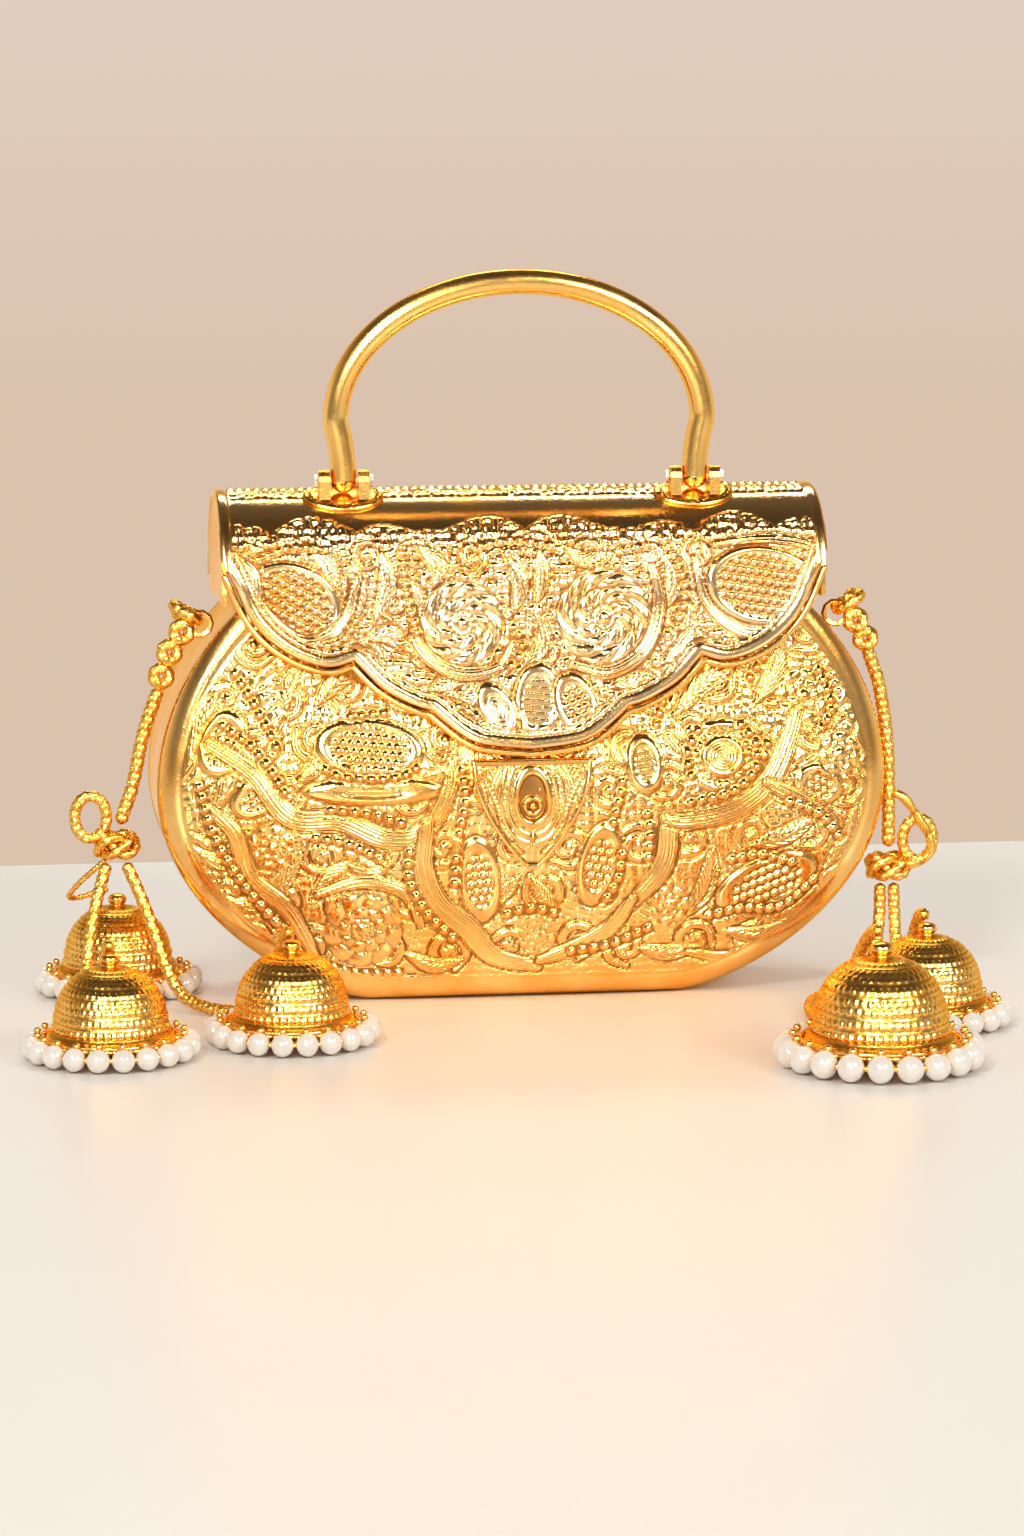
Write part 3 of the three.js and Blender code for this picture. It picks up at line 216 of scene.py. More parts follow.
def frames_along(path, closed=False):
    """Two cross directions at each point of a path that turn as little as possible along it."""
    ahead = np.roll(path, -1, axis=0) - np.roll(path, 1, axis=0)
    if not closed:
        ahead[0], ahead[-1] = path[1] - path[0], path[-1] - path[-2]
    ahead /= np.linalg.norm(ahead, axis=1, keepdims=True)
    side = np.zeros_like(path)
    start = np.array([0.0, 1.0, 0.0]) if abs(ahead[0, 1]) < 0.9 else np.array([1.0, 0.0, 0.0])
    side[0] = np.cross(ahead[0], np.cross(start, ahead[0]))
    for k in range(len(path)):
        before = side[k - 1] if k else side[0]
        side[k] = before - ahead[k] * before.dot(ahead[k])
        side[k] /= np.linalg.norm(side[k])
    if closed:
        turn = np.arctan2(np.cross(side[-1], side[0]).dot(ahead[0]), side[-1].dot(side[0]))
        angle = (turn * np.arange(len(path)) / len(path))[:, None]
        side = side * np.cos(angle) + np.cross(ahead, side) * np.sin(angle)
    return side, np.cross(ahead, side)


def tube_surface(path, turn, reach, closed):
    """Rings of points round a path: its frames' two directions times cosine and sine, times the reach."""
    side, up = frames_along(path, closed)
    spokes = np.cos(turn)[None, :, None] * side[:, None, :] + np.sin(turn)[None, :, None] * up[:, None, :]
    return path[:, None, :] + reach[..., None] * spokes


# %% [markdown]
# ## Knitted bead cord
# Up close the cord is a tube knitted from gilt thread, with a metal bead in each stitch, set like
# bricks. A braid of separate wires would cost too many faces, so the tube's radius itself swells
# into a small dome at each stitch.

# %% Bead lattice and rope tube
def bead_lattice(u, v, reach=0.5):
    """Height of round domes in a brick pattern. Each stitch is one unit of u and v, every other row
    is shifted by half, and the height is the upper half of a circle round the stitch's middle."""
    row = np.floor(v)
    a = (u + 0.5 * (row % 2)) % 1.0 - 0.5
    b = v - row - 0.5
    return round_cap(np.hypot(a, b) / reach)


def rope(name, points, radius, closed=False, stitches=6, sides=24, step=0.42):
    """A tube round a curve. Its radius is three quarters of the cord's, plus a dome at each stitch;
    the ends of an open cord are rounded off."""
    path, length = curve_through(points, step, closed)
    rows, turn = len(path), full_turn(sides)
    along = np.arange(rows) * (length / (rows if closed else rows - 1))
    pitch = 2 * np.pi * radius / stitches
    if closed:
        pitch = length / (2 * max(1, round(length / pitch / 2)))
    v, u = np.meshgrid(along / pitch, turn * stitches / (2 * np.pi), indexing="ij")
    dome = bead_lattice(u, v, 0.56)
    reach = radius * (0.74 + 0.3 * dome)
    if not closed:
        from_end = np.minimum(along, length - along)
        reach *= np.sqrt(np.clip(1 - (1 - from_end / radius).clip(0, 1) ** 2, 0.02, 1))[:, None]
    piece = ring_piece(name, tube_surface(path, turn, reach, closed), closed)
    set_attribute(piece, "stitch", dome)
    set_uv(piece, v, u)
    return piece, path, length

# %% [markdown]
# ## Finishes
# The whole bag is thin brass sheet with a bright gold plate. Plated metal is never one flat yellow:
# its tone drifts at random between a paler and a deeper gold, and here the hollows also get a painted
# brown shade. Three small shader groups make those changes, and each material mixes them in its own
# amounts. Every pattern reads Object coordinates in metres, so that it stays on the metal.

# %% Shader group helper
def shader_group(name, inputs, outputs):
    """A new shader node group with float or colour inputs and outputs, given as (name, type, default)."""
    group = bpy.data.node_groups.new(name, "ShaderNodeTree")
    for label, kind, value in inputs:
        socket = group.interface.new_socket(name=label, in_out="INPUT", socket_type=kind)
        if value is not None:
            socket.default_value = value
    for label, kind in outputs:
        group.interface.new_socket(name=label, in_out="OUTPUT", socket_type=kind)
    return group, group.nodes.new("NodeGroupInput"), group.nodes.new("NodeGroupOutput")


def node(tree, kind, **settings):
    """A node of that kind with its settings and the defaults of its inputs."""
    made = tree.nodes.new(kind)
    for key, value in settings.items():
        if hasattr(made, key) and key not in made.inputs:
            setattr(made, key, value)
        else:
            made.inputs[key].default_value = value
    return made


def math(tree, operation, a, b=0.5, clamp=False):
    """A Math node's output. Each of a and b is a number or another node's output."""
    made = tree.nodes.new("ShaderNodeMath")
    made.operation, made.use_clamp = operation, clamp
    for socket, value in zip(made.inputs, (a, b)):
        if isinstance(value, (int, float)):
            socket.default_value = value
        else:
            tree.links.new(value, socket)
    return made.outputs[0]


def mix_colour(tree, share, a, b):
    """A colour that is a where share is 0 and b where it is 1."""
    made = tree.nodes.new("ShaderNodeMix")
    made.data_type = "RGBA"
    for socket, value in zip((made.inputs[0], made.inputs[6], made.inputs[7]), (share, a, b)):
        if isinstance(value, (int, float)):
            socket.default_value = value
        elif isinstance(value, tuple):
            socket.default_value = (*value, 1.0)
        else:
            tree.links.new(value, socket)
    return made.outputs[2]


# %% Shared effects: plate tone, fine grain, hollow mask
TONE, tone_in, tone_out = shader_group(
    "plate_tone",
    [("Scale", "NodeSocketFloat", 60.0), ("Light", "NodeSocketColor", (0.9, 0.66, 0.3, 1)),
     ("Deep", "NodeSocketColor", (0.7, 0.38, 0.1, 1))],
    [("Color", "NodeSocketColor"), ("Cloud", "NodeSocketFloat")],
)
place = TONE.nodes.new("ShaderNodeTexCoord")
cloud = node(TONE, "ShaderNodeTexNoise", Detail=4.0, Roughness=0.6)
TONE.links.new(place.outputs["Object"], cloud.inputs["Vector"])
TONE.links.new(tone_in.outputs["Scale"], cloud.inputs["Scale"])
contrast = node(TONE, "ShaderNodeMapRange")
contrast.inputs["From Min"].default_value, contrast.inputs["From Max"].default_value = 0.35, 0.65
TONE.links.new(cloud.outputs["Fac"], contrast.inputs["Value"])
TONE.links.new(mix_colour(TONE, contrast.outputs[0], tone_in.outputs["Light"], tone_in.outputs["Deep"]),
               tone_out.inputs["Color"])
TONE.links.new(contrast.outputs[0], tone_out.inputs["Cloud"])

GRAIN, grain_in, grain_out = shader_group(
    "fine_grain",
    [("Scale", "NodeSocketFloat", 900.0), ("Scratch Scale", "NodeSocketFloat", 260.0)],
    [("Height", "NodeSocketFloat"), ("Scratches", "NodeSocketFloat")],
)
place = GRAIN.nodes.new("ShaderNodeTexCoord")
speck = node(GRAIN, "ShaderNodeTexNoise", Detail=3.0, Roughness=0.7)
GRAIN.links.new(place.outputs["Object"], speck.inputs["Vector"])
GRAIN.links.new(grain_in.outputs["Scale"], speck.inputs["Scale"])
stretch = node(GRAIN, "ShaderNodeMapping", Scale=(1.0, 1.0, 14.0), Rotation=(0.5, 0.9, 0.3))
GRAIN.links.new(place.outputs["Object"], stretch.inputs["Vector"])
scratch = node(GRAIN, "ShaderNodeTexNoise", Detail=2.0, Roughness=0.5)
GRAIN.links.new(stretch.outputs[0], scratch.inputs["Vector"])
GRAIN.links.new(grain_in.outputs["Scratch Scale"], scratch.inputs["Scale"])
hair = math(GRAIN, "SUBTRACT", 1.0, math(GRAIN, "MULTIPLY", math(GRAIN, "ABSOLUTE", math(
    GRAIN, "SUBTRACT", scratch.outputs["Fac"], 0.5)), 30.0), clamp=True)
GRAIN.links.new(speck.outputs["Fac"], grain_out.inputs["Height"])
GRAIN.links.new(hair, grain_out.inputs["Scratches"])

HOLLOW, hollow_in, hollow_out = shader_group(
    "hollow_mask",
    [("Height", "NodeSocketFloat", 1.0), ("Depth", "NodeSocketFloat", 0.35)],
    [("Mask", "NodeSocketFloat")],
)
HOLLOW.links.new(math(HOLLOW, "SUBTRACT", 1.0, math(
    HOLLOW, "DIVIDE", hollow_in.outputs["Height"], hollow_in.outputs["Depth"], clamp=True), clamp=True),
    hollow_out.inputs["Mask"])


# %% [markdown]
# ## Gold, from one recipe
# A gold plate could be one metal colour with low roughness. Here the recipe takes a light and a deep
# tone, how rough it is, how strong its grain is, and, for chased pieces, the vertex height that tells
# where the hollows are. Hollows get a painted warm brown shade: their colour is darkened as if shade
# fell there.

# %% Gold recipe
def principled(name, **values):
    """A material with a Principled BSDF whose plain numbers and colours sit on its own sockets."""
    material = bpy.data.materials.new(name)
    material.use_nodes = True
    shader = material.node_tree.nodes["Principled BSDF"]
    for label, value in values.items():
        shader.inputs[label.replace("_", " ")].default_value = value
    return material, material.node_tree, shader


def toned(tree, scale, light, deep):
    """The plate tone group with its scale and its two colours."""
    tone = node(tree, "ShaderNodeGroup", node_tree=TONE)
    tone.inputs["Scale"].default_value = scale
    tone.inputs["Light"].default_value, tone.inputs["Deep"].default_value = (*light, 1.0), (*deep, 1.0)
    return tone


def dented(tree, shader, strength, distance, grain=900.0):
    """Links the fine grain into the shader's normal through a Bump node. Gives back both nodes."""
    fine = node(tree, "ShaderNodeGroup", node_tree=GRAIN)
    fine.inputs["Scale"].default_value = grain
    dent = node(tree, "ShaderNodeBump", Strength=strength, Distance=distance)
    tree.links.new(fine.outputs["Height"], dent.inputs["Height"])
    tree.links.new(dent.outputs[0], shader.inputs["Normal"])
    return fine, dent


LINE_PITCH = 0.8  # millimetres from one engraved line to the next


def gold(name, light, deep, hollow_shade=(0.3, 0.12, 0.02), roughness=0.2, spread=0.12, bump=0.2, grain=900.0,
         scratch=0.0, height=None, depth=0.35, hollow_shade_share=0.8, cloud=60.0, engraved=False):
    """Gold plate: tone from the cloud group, painted shade in the hollows, roughness from cloud and
    scratches.
    Engraved plate also has fine lines: a sine of the trace, which is the distance from each motif."""
    material, tree, shader = principled(name, Metallic=1.0, Roughness=roughness,
                                        Specular_Tint=(1.0, 0.72, 0.36, 1.0))
    tone = toned(tree, cloud, light, deep)
    fine, dent = dented(tree, shader, bump, 0.0002, grain)
    colour = tone.outputs["Color"]
    rough = math(tree, "ADD", math(tree, "MULTIPLY", tone.outputs["Cloud"], spread), roughness)
    if height:
        attribute = node(tree, "ShaderNodeAttribute", attribute_name=height)
        mask = node(tree, "ShaderNodeGroup", node_tree=HOLLOW)
        mask.inputs["Depth"].default_value = depth
        tree.links.new(attribute.outputs["Fac"], mask.inputs["Height"])
        # Painted shade: in the hollows the colour is mixed toward a dark brown, as if shade fell there.
        colour = mix_colour(tree, math(tree, "MULTIPLY", mask.outputs[0], hollow_shade_share), colour, hollow_shade)
        rough = math(tree, "ADD", rough, math(tree, "MULTIPLY", mask.outputs[0], 0.15))
    if scratch:
        rough = math(tree, "ADD", rough, math(tree, "MULTIPLY", fine.outputs["Scratches"], scratch))
    tree.links.new(colour, shader.inputs["Base Color"])
    tree.links.new(rough, shader.inputs["Roughness"])
    if engraved:
        trace = node(tree, "ShaderNodeAttribute", attribute_name="trace")
        cut = node(tree, "ShaderNodeAttribute", attribute_name="cut")
        wave = math(tree, "SINE", math(tree, "MULTIPLY", trace.outputs["Fac"], 2 * np.pi / LINE_PITCH))
        lines = node(tree, "ShaderNodeBump", Strength=0.55, Distance=0.00015)
        tree.links.new(math(tree, "MULTIPLY", wave, cut.outputs["Fac"]), lines.inputs["Height"])
        tree.links.new(lines.outputs[0], dent.inputs["Normal"])
    return material


# The dark brown colour that each material below gives its hollows is painted shade, between beads, stitches
# and chased motifs alike.
CHASED = dict(spread=0.08, height="relief", bump=0.25, grain=700.0, engraved=True)
# Painted light: the lid's gold is a paler copy of the front's gold, for the brighter look of the upturned
# flap.
LIT_LID_GOLD = gold("chased_lid_gold_painted_lit", (1.0, 0.75, 0.42), (0.94, 0.52, 0.16), hollow_shade=(0.24, 0.08, 0.012),
                roughness=0.12, depth=0.42, hollow_shade_share=0.92, **CHASED)
EMBOSSED = gold("chased_gold", (1.0, 0.64, 0.23), (0.93, 0.46, 0.1), hollow_shade=(0.27, 0.1, 0.018),
                roughness=0.13, depth=0.3, hollow_shade_share=0.85, **CHASED)
SEAT_GOLD = gold("seat_gold", (1.0, 0.6, 0.18), (0.94, 0.48, 0.1), hollow_shade=(0.5, 0.22, 0.03), roughness=0.15,
                 height="relief", depth=0.3, hollow_shade_share=0.7, bump=0.3)
SMOOTH = gold("polished_gold", (1.0, 0.62, 0.19), (0.96, 0.52, 0.12), roughness=0.13, scratch=0.08, bump=0.12)
FITTING = gold("fitting_gold", (0.98, 0.6, 0.18), (0.9, 0.46, 0.1), roughness=0.18, scratch=0.1, bump=0.3,
               grain=1400.0, cloud=200.0)
BELL = gold("granulated_gold", (0.99, 0.6, 0.18), (0.92, 0.46, 0.08), hollow_shade=(0.4, 0.17, 0.02), roughness=0.14,
            height="relief", depth=0.35, hollow_shade_share=0.75, bump=0.25, grain=1600.0, cloud=160.0)
ROPE = gold("gilt_thread", (1.0, 0.62, 0.16), (0.9, 0.45, 0.07), hollow_shade=(0.42, 0.17, 0.015), roughness=0.2,
            height="stitch", depth=0.5, hollow_shade_share=0.75, bump=0.5, grain=2600.0, cloud=300.0)
print("gold finishes:", [m.name for m in (LIT_LID_GOLD, EMBOSSED, SEAT_GOLD, SMOOTH, FITTING, BELL, ROPE)])

# %% Steel, pearl and velvet
STEEL, steel_tree, steel_shader = principled("pin_steel", Metallic=1.0, Roughness=0.3)
steel_tone = toned(steel_tree, 250.0, (0.72, 0.69, 0.62), (0.52, 0.49, 0.44))
steel_tree.links.new(steel_tone.outputs["Color"], steel_shader.inputs["Base Color"])
steel_grain = node(steel_tree, "ShaderNodeGroup", node_tree=GRAIN)
scratched = math(steel_tree, "MULTIPLY", steel_grain.outputs["Scratches"], 0.2)
steel_tree.links.new(math(steel_tree, "ADD", scratched, 0.25), steel_shader.inputs["Roughness"])

PEARL, pearl_tree, pearl_shader = principled(
    "warm_pearl", Roughness=0.22, Coat_Weight=0.6, Coat_Roughness=0.08, Subsurface_Weight=0.15,
    Subsurface_Radius=(0.002, 0.0015, 0.001))
pearl_tone = toned(pearl_tree, 120.0, (0.96, 0.91, 0.84), (0.945, 0.88, 0.795))
# Painted sheen: toward the pearl's outline, as the camera sees it, the colour is mixed toward a pale pink.
painted_rim_sheen = node(pearl_tree, "ShaderNodeLayerWeight", Blend=0.3)
pearl_tree.links.new(mix_colour(pearl_tree, math(pearl_tree, "MULTIPLY", painted_rim_sheen.outputs["Facing"], 0.5),
                                pearl_tone.outputs["Color"], (0.98, 0.88, 0.86)),
                     pearl_shader.inputs["Base Color"])
dented(pearl_tree, pearl_shader, 0.04, 0.0002)

VELVET, velvet_tree, velvet_shader = principled(
    "wine_velvet", Roughness=0.9, Sheen_Weight=0.8, Sheen_Roughness=0.4, Sheen_Tint=(0.9, 0.5, 0.5, 1))
velvet_tone = toned(velvet_tree, 90.0, (0.16, 0.012, 0.025), (0.07, 0.004, 0.01))
velvet_tree.links.new(velvet_tone.outputs["Color"], velvet_shader.inputs["Base Color"])
dented(velvet_tree, velvet_shader, 0.5, 0.0004, grain=3200.0)

# %% [markdown]
# ## Hitches and knots
# At each end of the bag the cord is looped through a small ring and round itself, which leaves three
# or four round lobes. Lower down it is wound into a ball, with one loop left standing. A knot could
# be simulated, but it wouldn't come out the same twice: here every lobe is a closed rope on a circle,
# and the ball is one closed winding that goes three times round while it rises and falls five times.

# %% Hitches
EYE_Y = -11.0
HITCH_LOBES = {
    "left": [(-91.2, EYE_Y, 105.8), (-92.6, EYE_Y - 3.4, 101), (-96, EYE_Y - 3.4, 95.6),
             (-98.2, EYE_Y - 2.4, 89)],
    "right": [(91.2, EYE_Y, 105.8), (92.6, EYE_Y - 3.4, 101), (95.4, EYE_Y - 3.4, 96)],
}
EYE_OUT = {"left": (-0.85, 0.0, 0.53), "right": (0.85, 0.0, 0.53)}
FIRST_LOBE, NEXT_LOBES, WRAP_LOOP, WRAP_RADIUS = 3.7, 2.1, 2.0, 1.45


def circle_points(centre, radius, first, second, count=14, tall=1.0):
    """Points on an ellipse: the centre plus cosine times the first direction and sine times the second."""
    turn = full_turn(count)[:, None]
    return (np.asarray(centre) + radius * np.cos(turn) * np.asarray(first, dtype=float)
            + radius * tall * np.sin(turn) * np.asarray(second, dtype=float))


def joined(name, pieces):
    """One object from several: their vertices, faces, UVs and attributes are kept."""
    with bpy.context.temp_override(active_object=pieces[0], selected_editable_objects=pieces):
        bpy.ops.object.join()
    pieces[0].name = name
    pieces[0].data.name = name
    return pieces[0]


hitches = {}
for word, lobes in HITCH_LOBES.items():
    loops = []
    for k, centre in enumerate(lobes):
        first, second = ((np.array(EYE_OUT[word]), (0, 1, 0)) if k == 0 else ((1, 0, 0), (0, 0, 1)))
        ring = circle_points(centre, FIRST_LOBE if k == 0 else NEXT_LOBES, first, second)
        loops.append(rope(f"hitch_lobe_{word}_{k}", ring, 0.88 * ROPE_RADIUS, closed=True, stitches=5)[0])
        lean = np.cross(first, second) * 0.55
        wrap = circle_points(np.array(centre) + 0.8 * lean, WRAP_LOOP, np.array(first) + lean,
                             np.array(second) - 0.6 * lean)
        loops.append(rope(f"hitch_wrap_{word}_{k}", wrap, WRAP_RADIUS, closed=True, stitches=5)[0])
    hitches[word] = finish_piece(joined(f"hitch_rope_{word}", loops), ROPE, "case", [f"hitch_{word}"])
print("hitches:", [len(h.data.polygons) for h in hitches.values()])

# %% Knots
KNOTS = {
    "left": ((-111, -13.4, 43.2), (-117.8, -14.5, 51)),
    "right": ((102.6, -13.4, 32), (110.9, -14.5, 39.5)),
}


def ball_winding(centre):
    """A closed winding on an ellipsoid: it goes three times round the upright axis while its distance
    from it swings five times, so that it passes over and under itself like a Turk's head."""
    t = full_turn(120)
    reach = 3.6 + 1.1 * np.cos(5 * t)
    return np.stack([
        centre[0] + 1.15 * reach * np.cos(3 * t),
        centre[1] + 1.0 * reach * np.sin(3 * t),
        centre[2] + 2.5 * np.sin(5 * t),
    ], axis=-1)


knots = {}
for word, (ball, loop) in KNOTS.items():
    winding = rope(f"knot_ball_{word}", ball_winding(ball), 1.35, closed=True, stitches=4, sides=16,
                   step=0.5)[0]
    ring = circle_points(loop, 4.3, (1, 0, 0), (0, 0, 1), tall=1.35)
    eye = rope(f"knot_loop_{word}", ring, 1.6, closed=True, stitches=5)[0]
    if word == "right":
        smooth = [(103.4, -15, 53), (106.4, -16, 51.5), (110.4, -16.2, 46), (114, -16, 40),
                  (114.2, -15.6, 36), (111.4, -15, 33.2), (107, -14.6, 32.2)]
        eye = joined("satin_loop", [eye, rope("satin_cord", smooth, 1.3, stitches=1, sides=16)[0]])
    knots[word] = finish_piece(joined(f"knot_rope_{word}", [winding, eye]), ROPE, "case",
                               [f"knot_{word}"])
print("knots:", [len(k.data.polygons) for k in knots.values()])

# %% [markdown]
# ## Bells
# The pendants are thin domed bells covered with tiny soldered beads in rings, with plain wires
# between, and a knob that the strand is tied to. Each bell is a turned shape: one profile, carried
# round an axis, that goes up outside and back down inside so that the wall is closed. The beads are
# domes raised along the outside, higher at the rim than at the crown.

# %% Bell surface
BELLS = {
    "left_a": (-116.7, -82.2, 1), "left_b": (-68.7, -70.1, 1), "left_c": (-110, 2, 1),
    "right_a": (78, -118, 1.18), "right_b": (101, -70, 1),
}
BELL_OUTSIDE = [(16.6, 3.6), (17.2, 4.2), (16.4, 5.4), (14.9, 6.8), (14.6, 9), (14.45, 11), (13.8, 14),
                (12.6, 17), (10.8, 19.4), (8.2, 21.6), (5.4, 22.8), (2.4, 23.4), (1.9, 23.9), (2.4, 24.6),
                (2.6, 25.4), (2.2, 26.2), (1.2, 26.7), (0.05, 26.8)]
BELL_INSIDE = [(0.05, 21.4), (4, 21.1), (7.4, 19.9), (10, 17.8), (12, 14.5), (13.1, 11), (13.4, 8), (13.9, 6),
               (15.2, 4.4), (16.2, 3.6)]
BEAD_BANDS = [(0.2, 2.2, 2.0), (4.6, 6.6, 2.0), (7.5, 9.4, 1.9), (10.4, 14.2, 1.9), (15.2, 17.0, 1.8),
              (18.2, 21.8, 1.8), (23.4, 24.8, 1.4)]
BEAD_RISE = ([0, 7, 9, 16, 22], [0.75, 0.7, 0.34, 0.22, 0.14])
KNOB_Z, WIRE_OFFSET, WIRE_HALF, WIRE_HEIGHT = 25.0, 0.35, 0.36, 0.5


def bell(name, x, y, size, columns=264):
    """A turned bell. Along the outside profile are bands of bead domes, and a thin round wire after
    each band. All of it is raised by a height that falls from 0.75 mm at the rim to 0.14 mm at the
    crown, and fades out on the knob."""
    outside, length = curve_through([(r, 0, z) for r, z in BELL_OUTSIDE], 0.36)
    inside, _ = curve_through([(r, 0, z) for r, z in BELL_INSIDE], 1.6)
    travel = np.linspace(0, length, len(outside))
    turn = full_turn(columns)
    lift = np.zeros((len(outside), columns))
    for start, end, pitch in BEAD_BANDS:
        rows = round((end - start) / pitch)
        inside_band = (travel >= start) & (travel < start + rows * pitch)
        radius = np.interp(start + rows * pitch / 2, travel, outside[:, 0])
        count = max(8, round(2 * np.pi * radius / pitch))
        v, u = np.meshgrid((travel - start) / pitch, turn * count / (2 * np.pi), indexing="ij")
        lift = np.where(inside_band[:, None], bead_lattice(u, v), lift)
        edge = travel - start - rows * pitch - WIRE_OFFSET
        lift = np.maximum(lift, (WIRE_HEIGHT * round_cap(edge / WIRE_HALF))[:, None])
    slope = np.gradient(outside[:, [0, 2]], axis=0)
    slope /= np.linalg.norm(slope, axis=1, keepdims=True)
    knob = np.clip((KNOB_Z - outside[:, 2]) / 1.5, 0, 1)[:, None]
    rise = np.interp(travel, *BEAD_RISE)[:, None] * lift * knob
    r = (outside[:, 0, None] + rise * slope[:, 1, None]) * size
    z = (outside[:, 2, None] - rise * slope[:, 0, None]) * size
    r = np.vstack([r, np.broadcast_to(inside[:, 0, None] * size, (len(inside), columns))])
    z = np.vstack([z, np.broadcast_to(inside[:, 2, None] * size, (len(inside), columns))])
    relief = np.vstack([lift * knob + (1 - knob), np.full((len(inside), columns), 0.6)])
    surface = np.stack([x + r * np.cos(turn), y + r * np.sin(turn), z], axis=-1)
    faces = grid_faces(len(r), columns, close_rows=True, close_columns=True)
    piece = new_piece(name, surface.reshape(-1, 3), faces)
    set_attribute(piece, "relief", relief)
    return piece


# %% [markdown]
# ## Pearls
# Small warm pearls stand round each bell's rim, almost touching, each on a short gold pin. Real ones
# are never quite round, so every pearl is a sphere whose three radii differ by a few hundredths, from a
# seeded generator. All the pearls of a bell are one array of points: centres plus one unit sphere.

# %% Pearl ring
PEARL_COUNT, PEARL_RADIUS, PEARL_RING, TABLE_GAP = 20, 3.05, 20.5, 0.05


def sphere_grid(rows, columns):
    """Unit sphere as a grid from pole to pole, with its poles nearly closed."""
    polar = np.linspace(0.02, np.pi - 0.02, rows)[:, None]
    turn = full_turn(columns)[None, :]
    return np.stack([np.sin(polar) * np.cos(turn), np.sin(polar) * np.sin(turn),
                     np.cos(polar) + 0 * turn], axis=-1)


def many(name, centres, radii, rows=14, columns=20):
    """Many closed ellipsoids in one mesh: every centre plus its radii times one unit sphere."""
    ball = sphere_grid(rows, columns).reshape(-1, 3)
    points = centres[:, None, :] + radii[:, None, :] * ball[None]
    one = grid_faces(rows, columns, close_columns=True, flip=True)
    count = rows * columns
    faces = [f for k in range(len(centres)) for f in (one + k * count).tolist()
             + [list(range(k * count, k * count + columns)),
                list(range((k + 1) * count - columns, (k + 1) * count))[::-1]]]
    return new_piece(name, points.reshape(-1, 3), faces)


def spokes_at(turn):
    """Unit vectors at the given angles round an upright axis."""
    return np.stack([np.cos(turn), np.sin(turn), 0 * turn], axis=-1)


def pearl_ring(word, x, y, size, seed):
    """The pearls of one bell, and its gold wire with a small cap between each two pearls."""
    random = np.random.default_rng(seed)
    turn = full_turn(PEARL_COUNT) + 0.1
    ring, radius = PEARL_RING * size, PEARL_RADIUS * size
    spoke = spokes_at(turn)
    radii = radius * (1 + random.uniform(-0.05, 0.0, (PEARL_COUNT, 3)))
    centres = np.array([x, y, TABLE_GAP]) + ring * spoke + np.array([0, 0, 1]) * radii[:, 2:]
    pearls = many(f"pearl_beads_{word}", centres, radii)

    def beads(kind, up, reach, angles, bead):
        """Small gold beads on a ring at a height of so many pearl radii."""
        middle = np.array([x, y, TABLE_GAP + up * radius])
        return many(f"{kind}_{word}", middle + reach * angles, np.full((PEARL_COUNT, 3), bead * size), 8, 10)

    def wire(kind, up, reach, thick, step):
        """A thin closed cord on a ring at a height of so many pearl radii."""
        points = circle_points((x, y, TABLE_GAP + up * radius), reach, (1, 0, 0), (0, 1, 0), 24)
        return rope(f"{kind}_{word}", points, thick * size, closed=True, stitches=3, sides=8, step=step)[0]

    cap_beads = beads("caps", 1, ring, spokes_at(turn + np.pi / PEARL_COUNT), 0.75)
    head_beads = beads("heads", 2.05, ring - 1.4 * size, spoke, 0.95)
    thread = wire("wire", 1, ring, 0.45, 1.5)
    rim_wire = wire("rim", 1.75, ring - 3.0 * size, 0.6, 1.0)
    return pearls, joined(f"pearl_wire_{word}", [thread, cap_beads, head_beads, rim_wire])


pendants = {}
for seed, (word, (x, y, size)) in enumerate(BELLS.items(), start=3):
    dome = finish_piece(bell(f"bell_{word}", x, y, size), BELL, "case", [f"jhumka_{word}"])
    pearls, wire = pearl_ring(word, x, y, size, seed)
    finish_piece(pearls, PEARL, "case", [f"pearls_{word}"])
    finish_piece(wire, FITTING, "case")
    pendants[word] = [dome, pearls, wire]
print("bells:", {w: sum(len(p.data.polygons) for p in ps) for w, ps in pendants.items()})

# %% [markdown]
# ## The cords themselves
# Seven free cords: two that hang down the sides, four strands and one thin thread that carry the
# bells. Their ends show in the photograph, and their length is measured along the routes drawn above.
# How far the strands lie forward, and what is hidden behind the bells, is estimated there.

# %% Cord tubes
CORDS = {
    "cord_left": (ROPE_RADIUS, "knot", "hanging", [hitches["left"], knots["left"]]),
    "cord_right": (ROPE_RADIUS, "knot", "hanging", [hitches["right"], knots["right"]]),
    "strand_left_a": (STRAND_RADIUS, "fitting", "loose", pendants["left_a"]),
    "strand_left_b": (STRAND_RADIUS, "fitting", "loose", pendants["left_b"]),
    "thread_left": (THREAD_RADIUS, "fitting", "hanging", pendants["left_c"]),
    "strand_right_a": (STRAND_RADIUS, "fitting", "loose", pendants["right_a"]),
    "strand_right_b": (STRAND_RADIUS, "fitting", "loose", pendants["right_b"]),
}
for name, (radius, far_end, lay, with_pieces) in CORDS.items():
    thin = radius < 1
    piece, path, length = rope(f"rope_{name}", ROUTES[name], radius, stitches=4 if thin else 6,
                               sides=12 if thin else 24)
    finish_piece(piece, ROPE, "case", [name])
    print(name, "length", round(length, 1), "mm,", len(piece.data.polygons), "faces")

# %% [markdown]
# ## The case's shape
# Seen from the front the case is a wide drop: flat at the bottom, round at the sides and narrower at
# the mouth. Its two plates are dished, their edges stand on a plain band 40 mm deep, and a smooth
# rolled border runs along the outline. These are the CAD's own formulas, written for whole arrays, so
# the fine plates lie exactly where the CAD plates do.

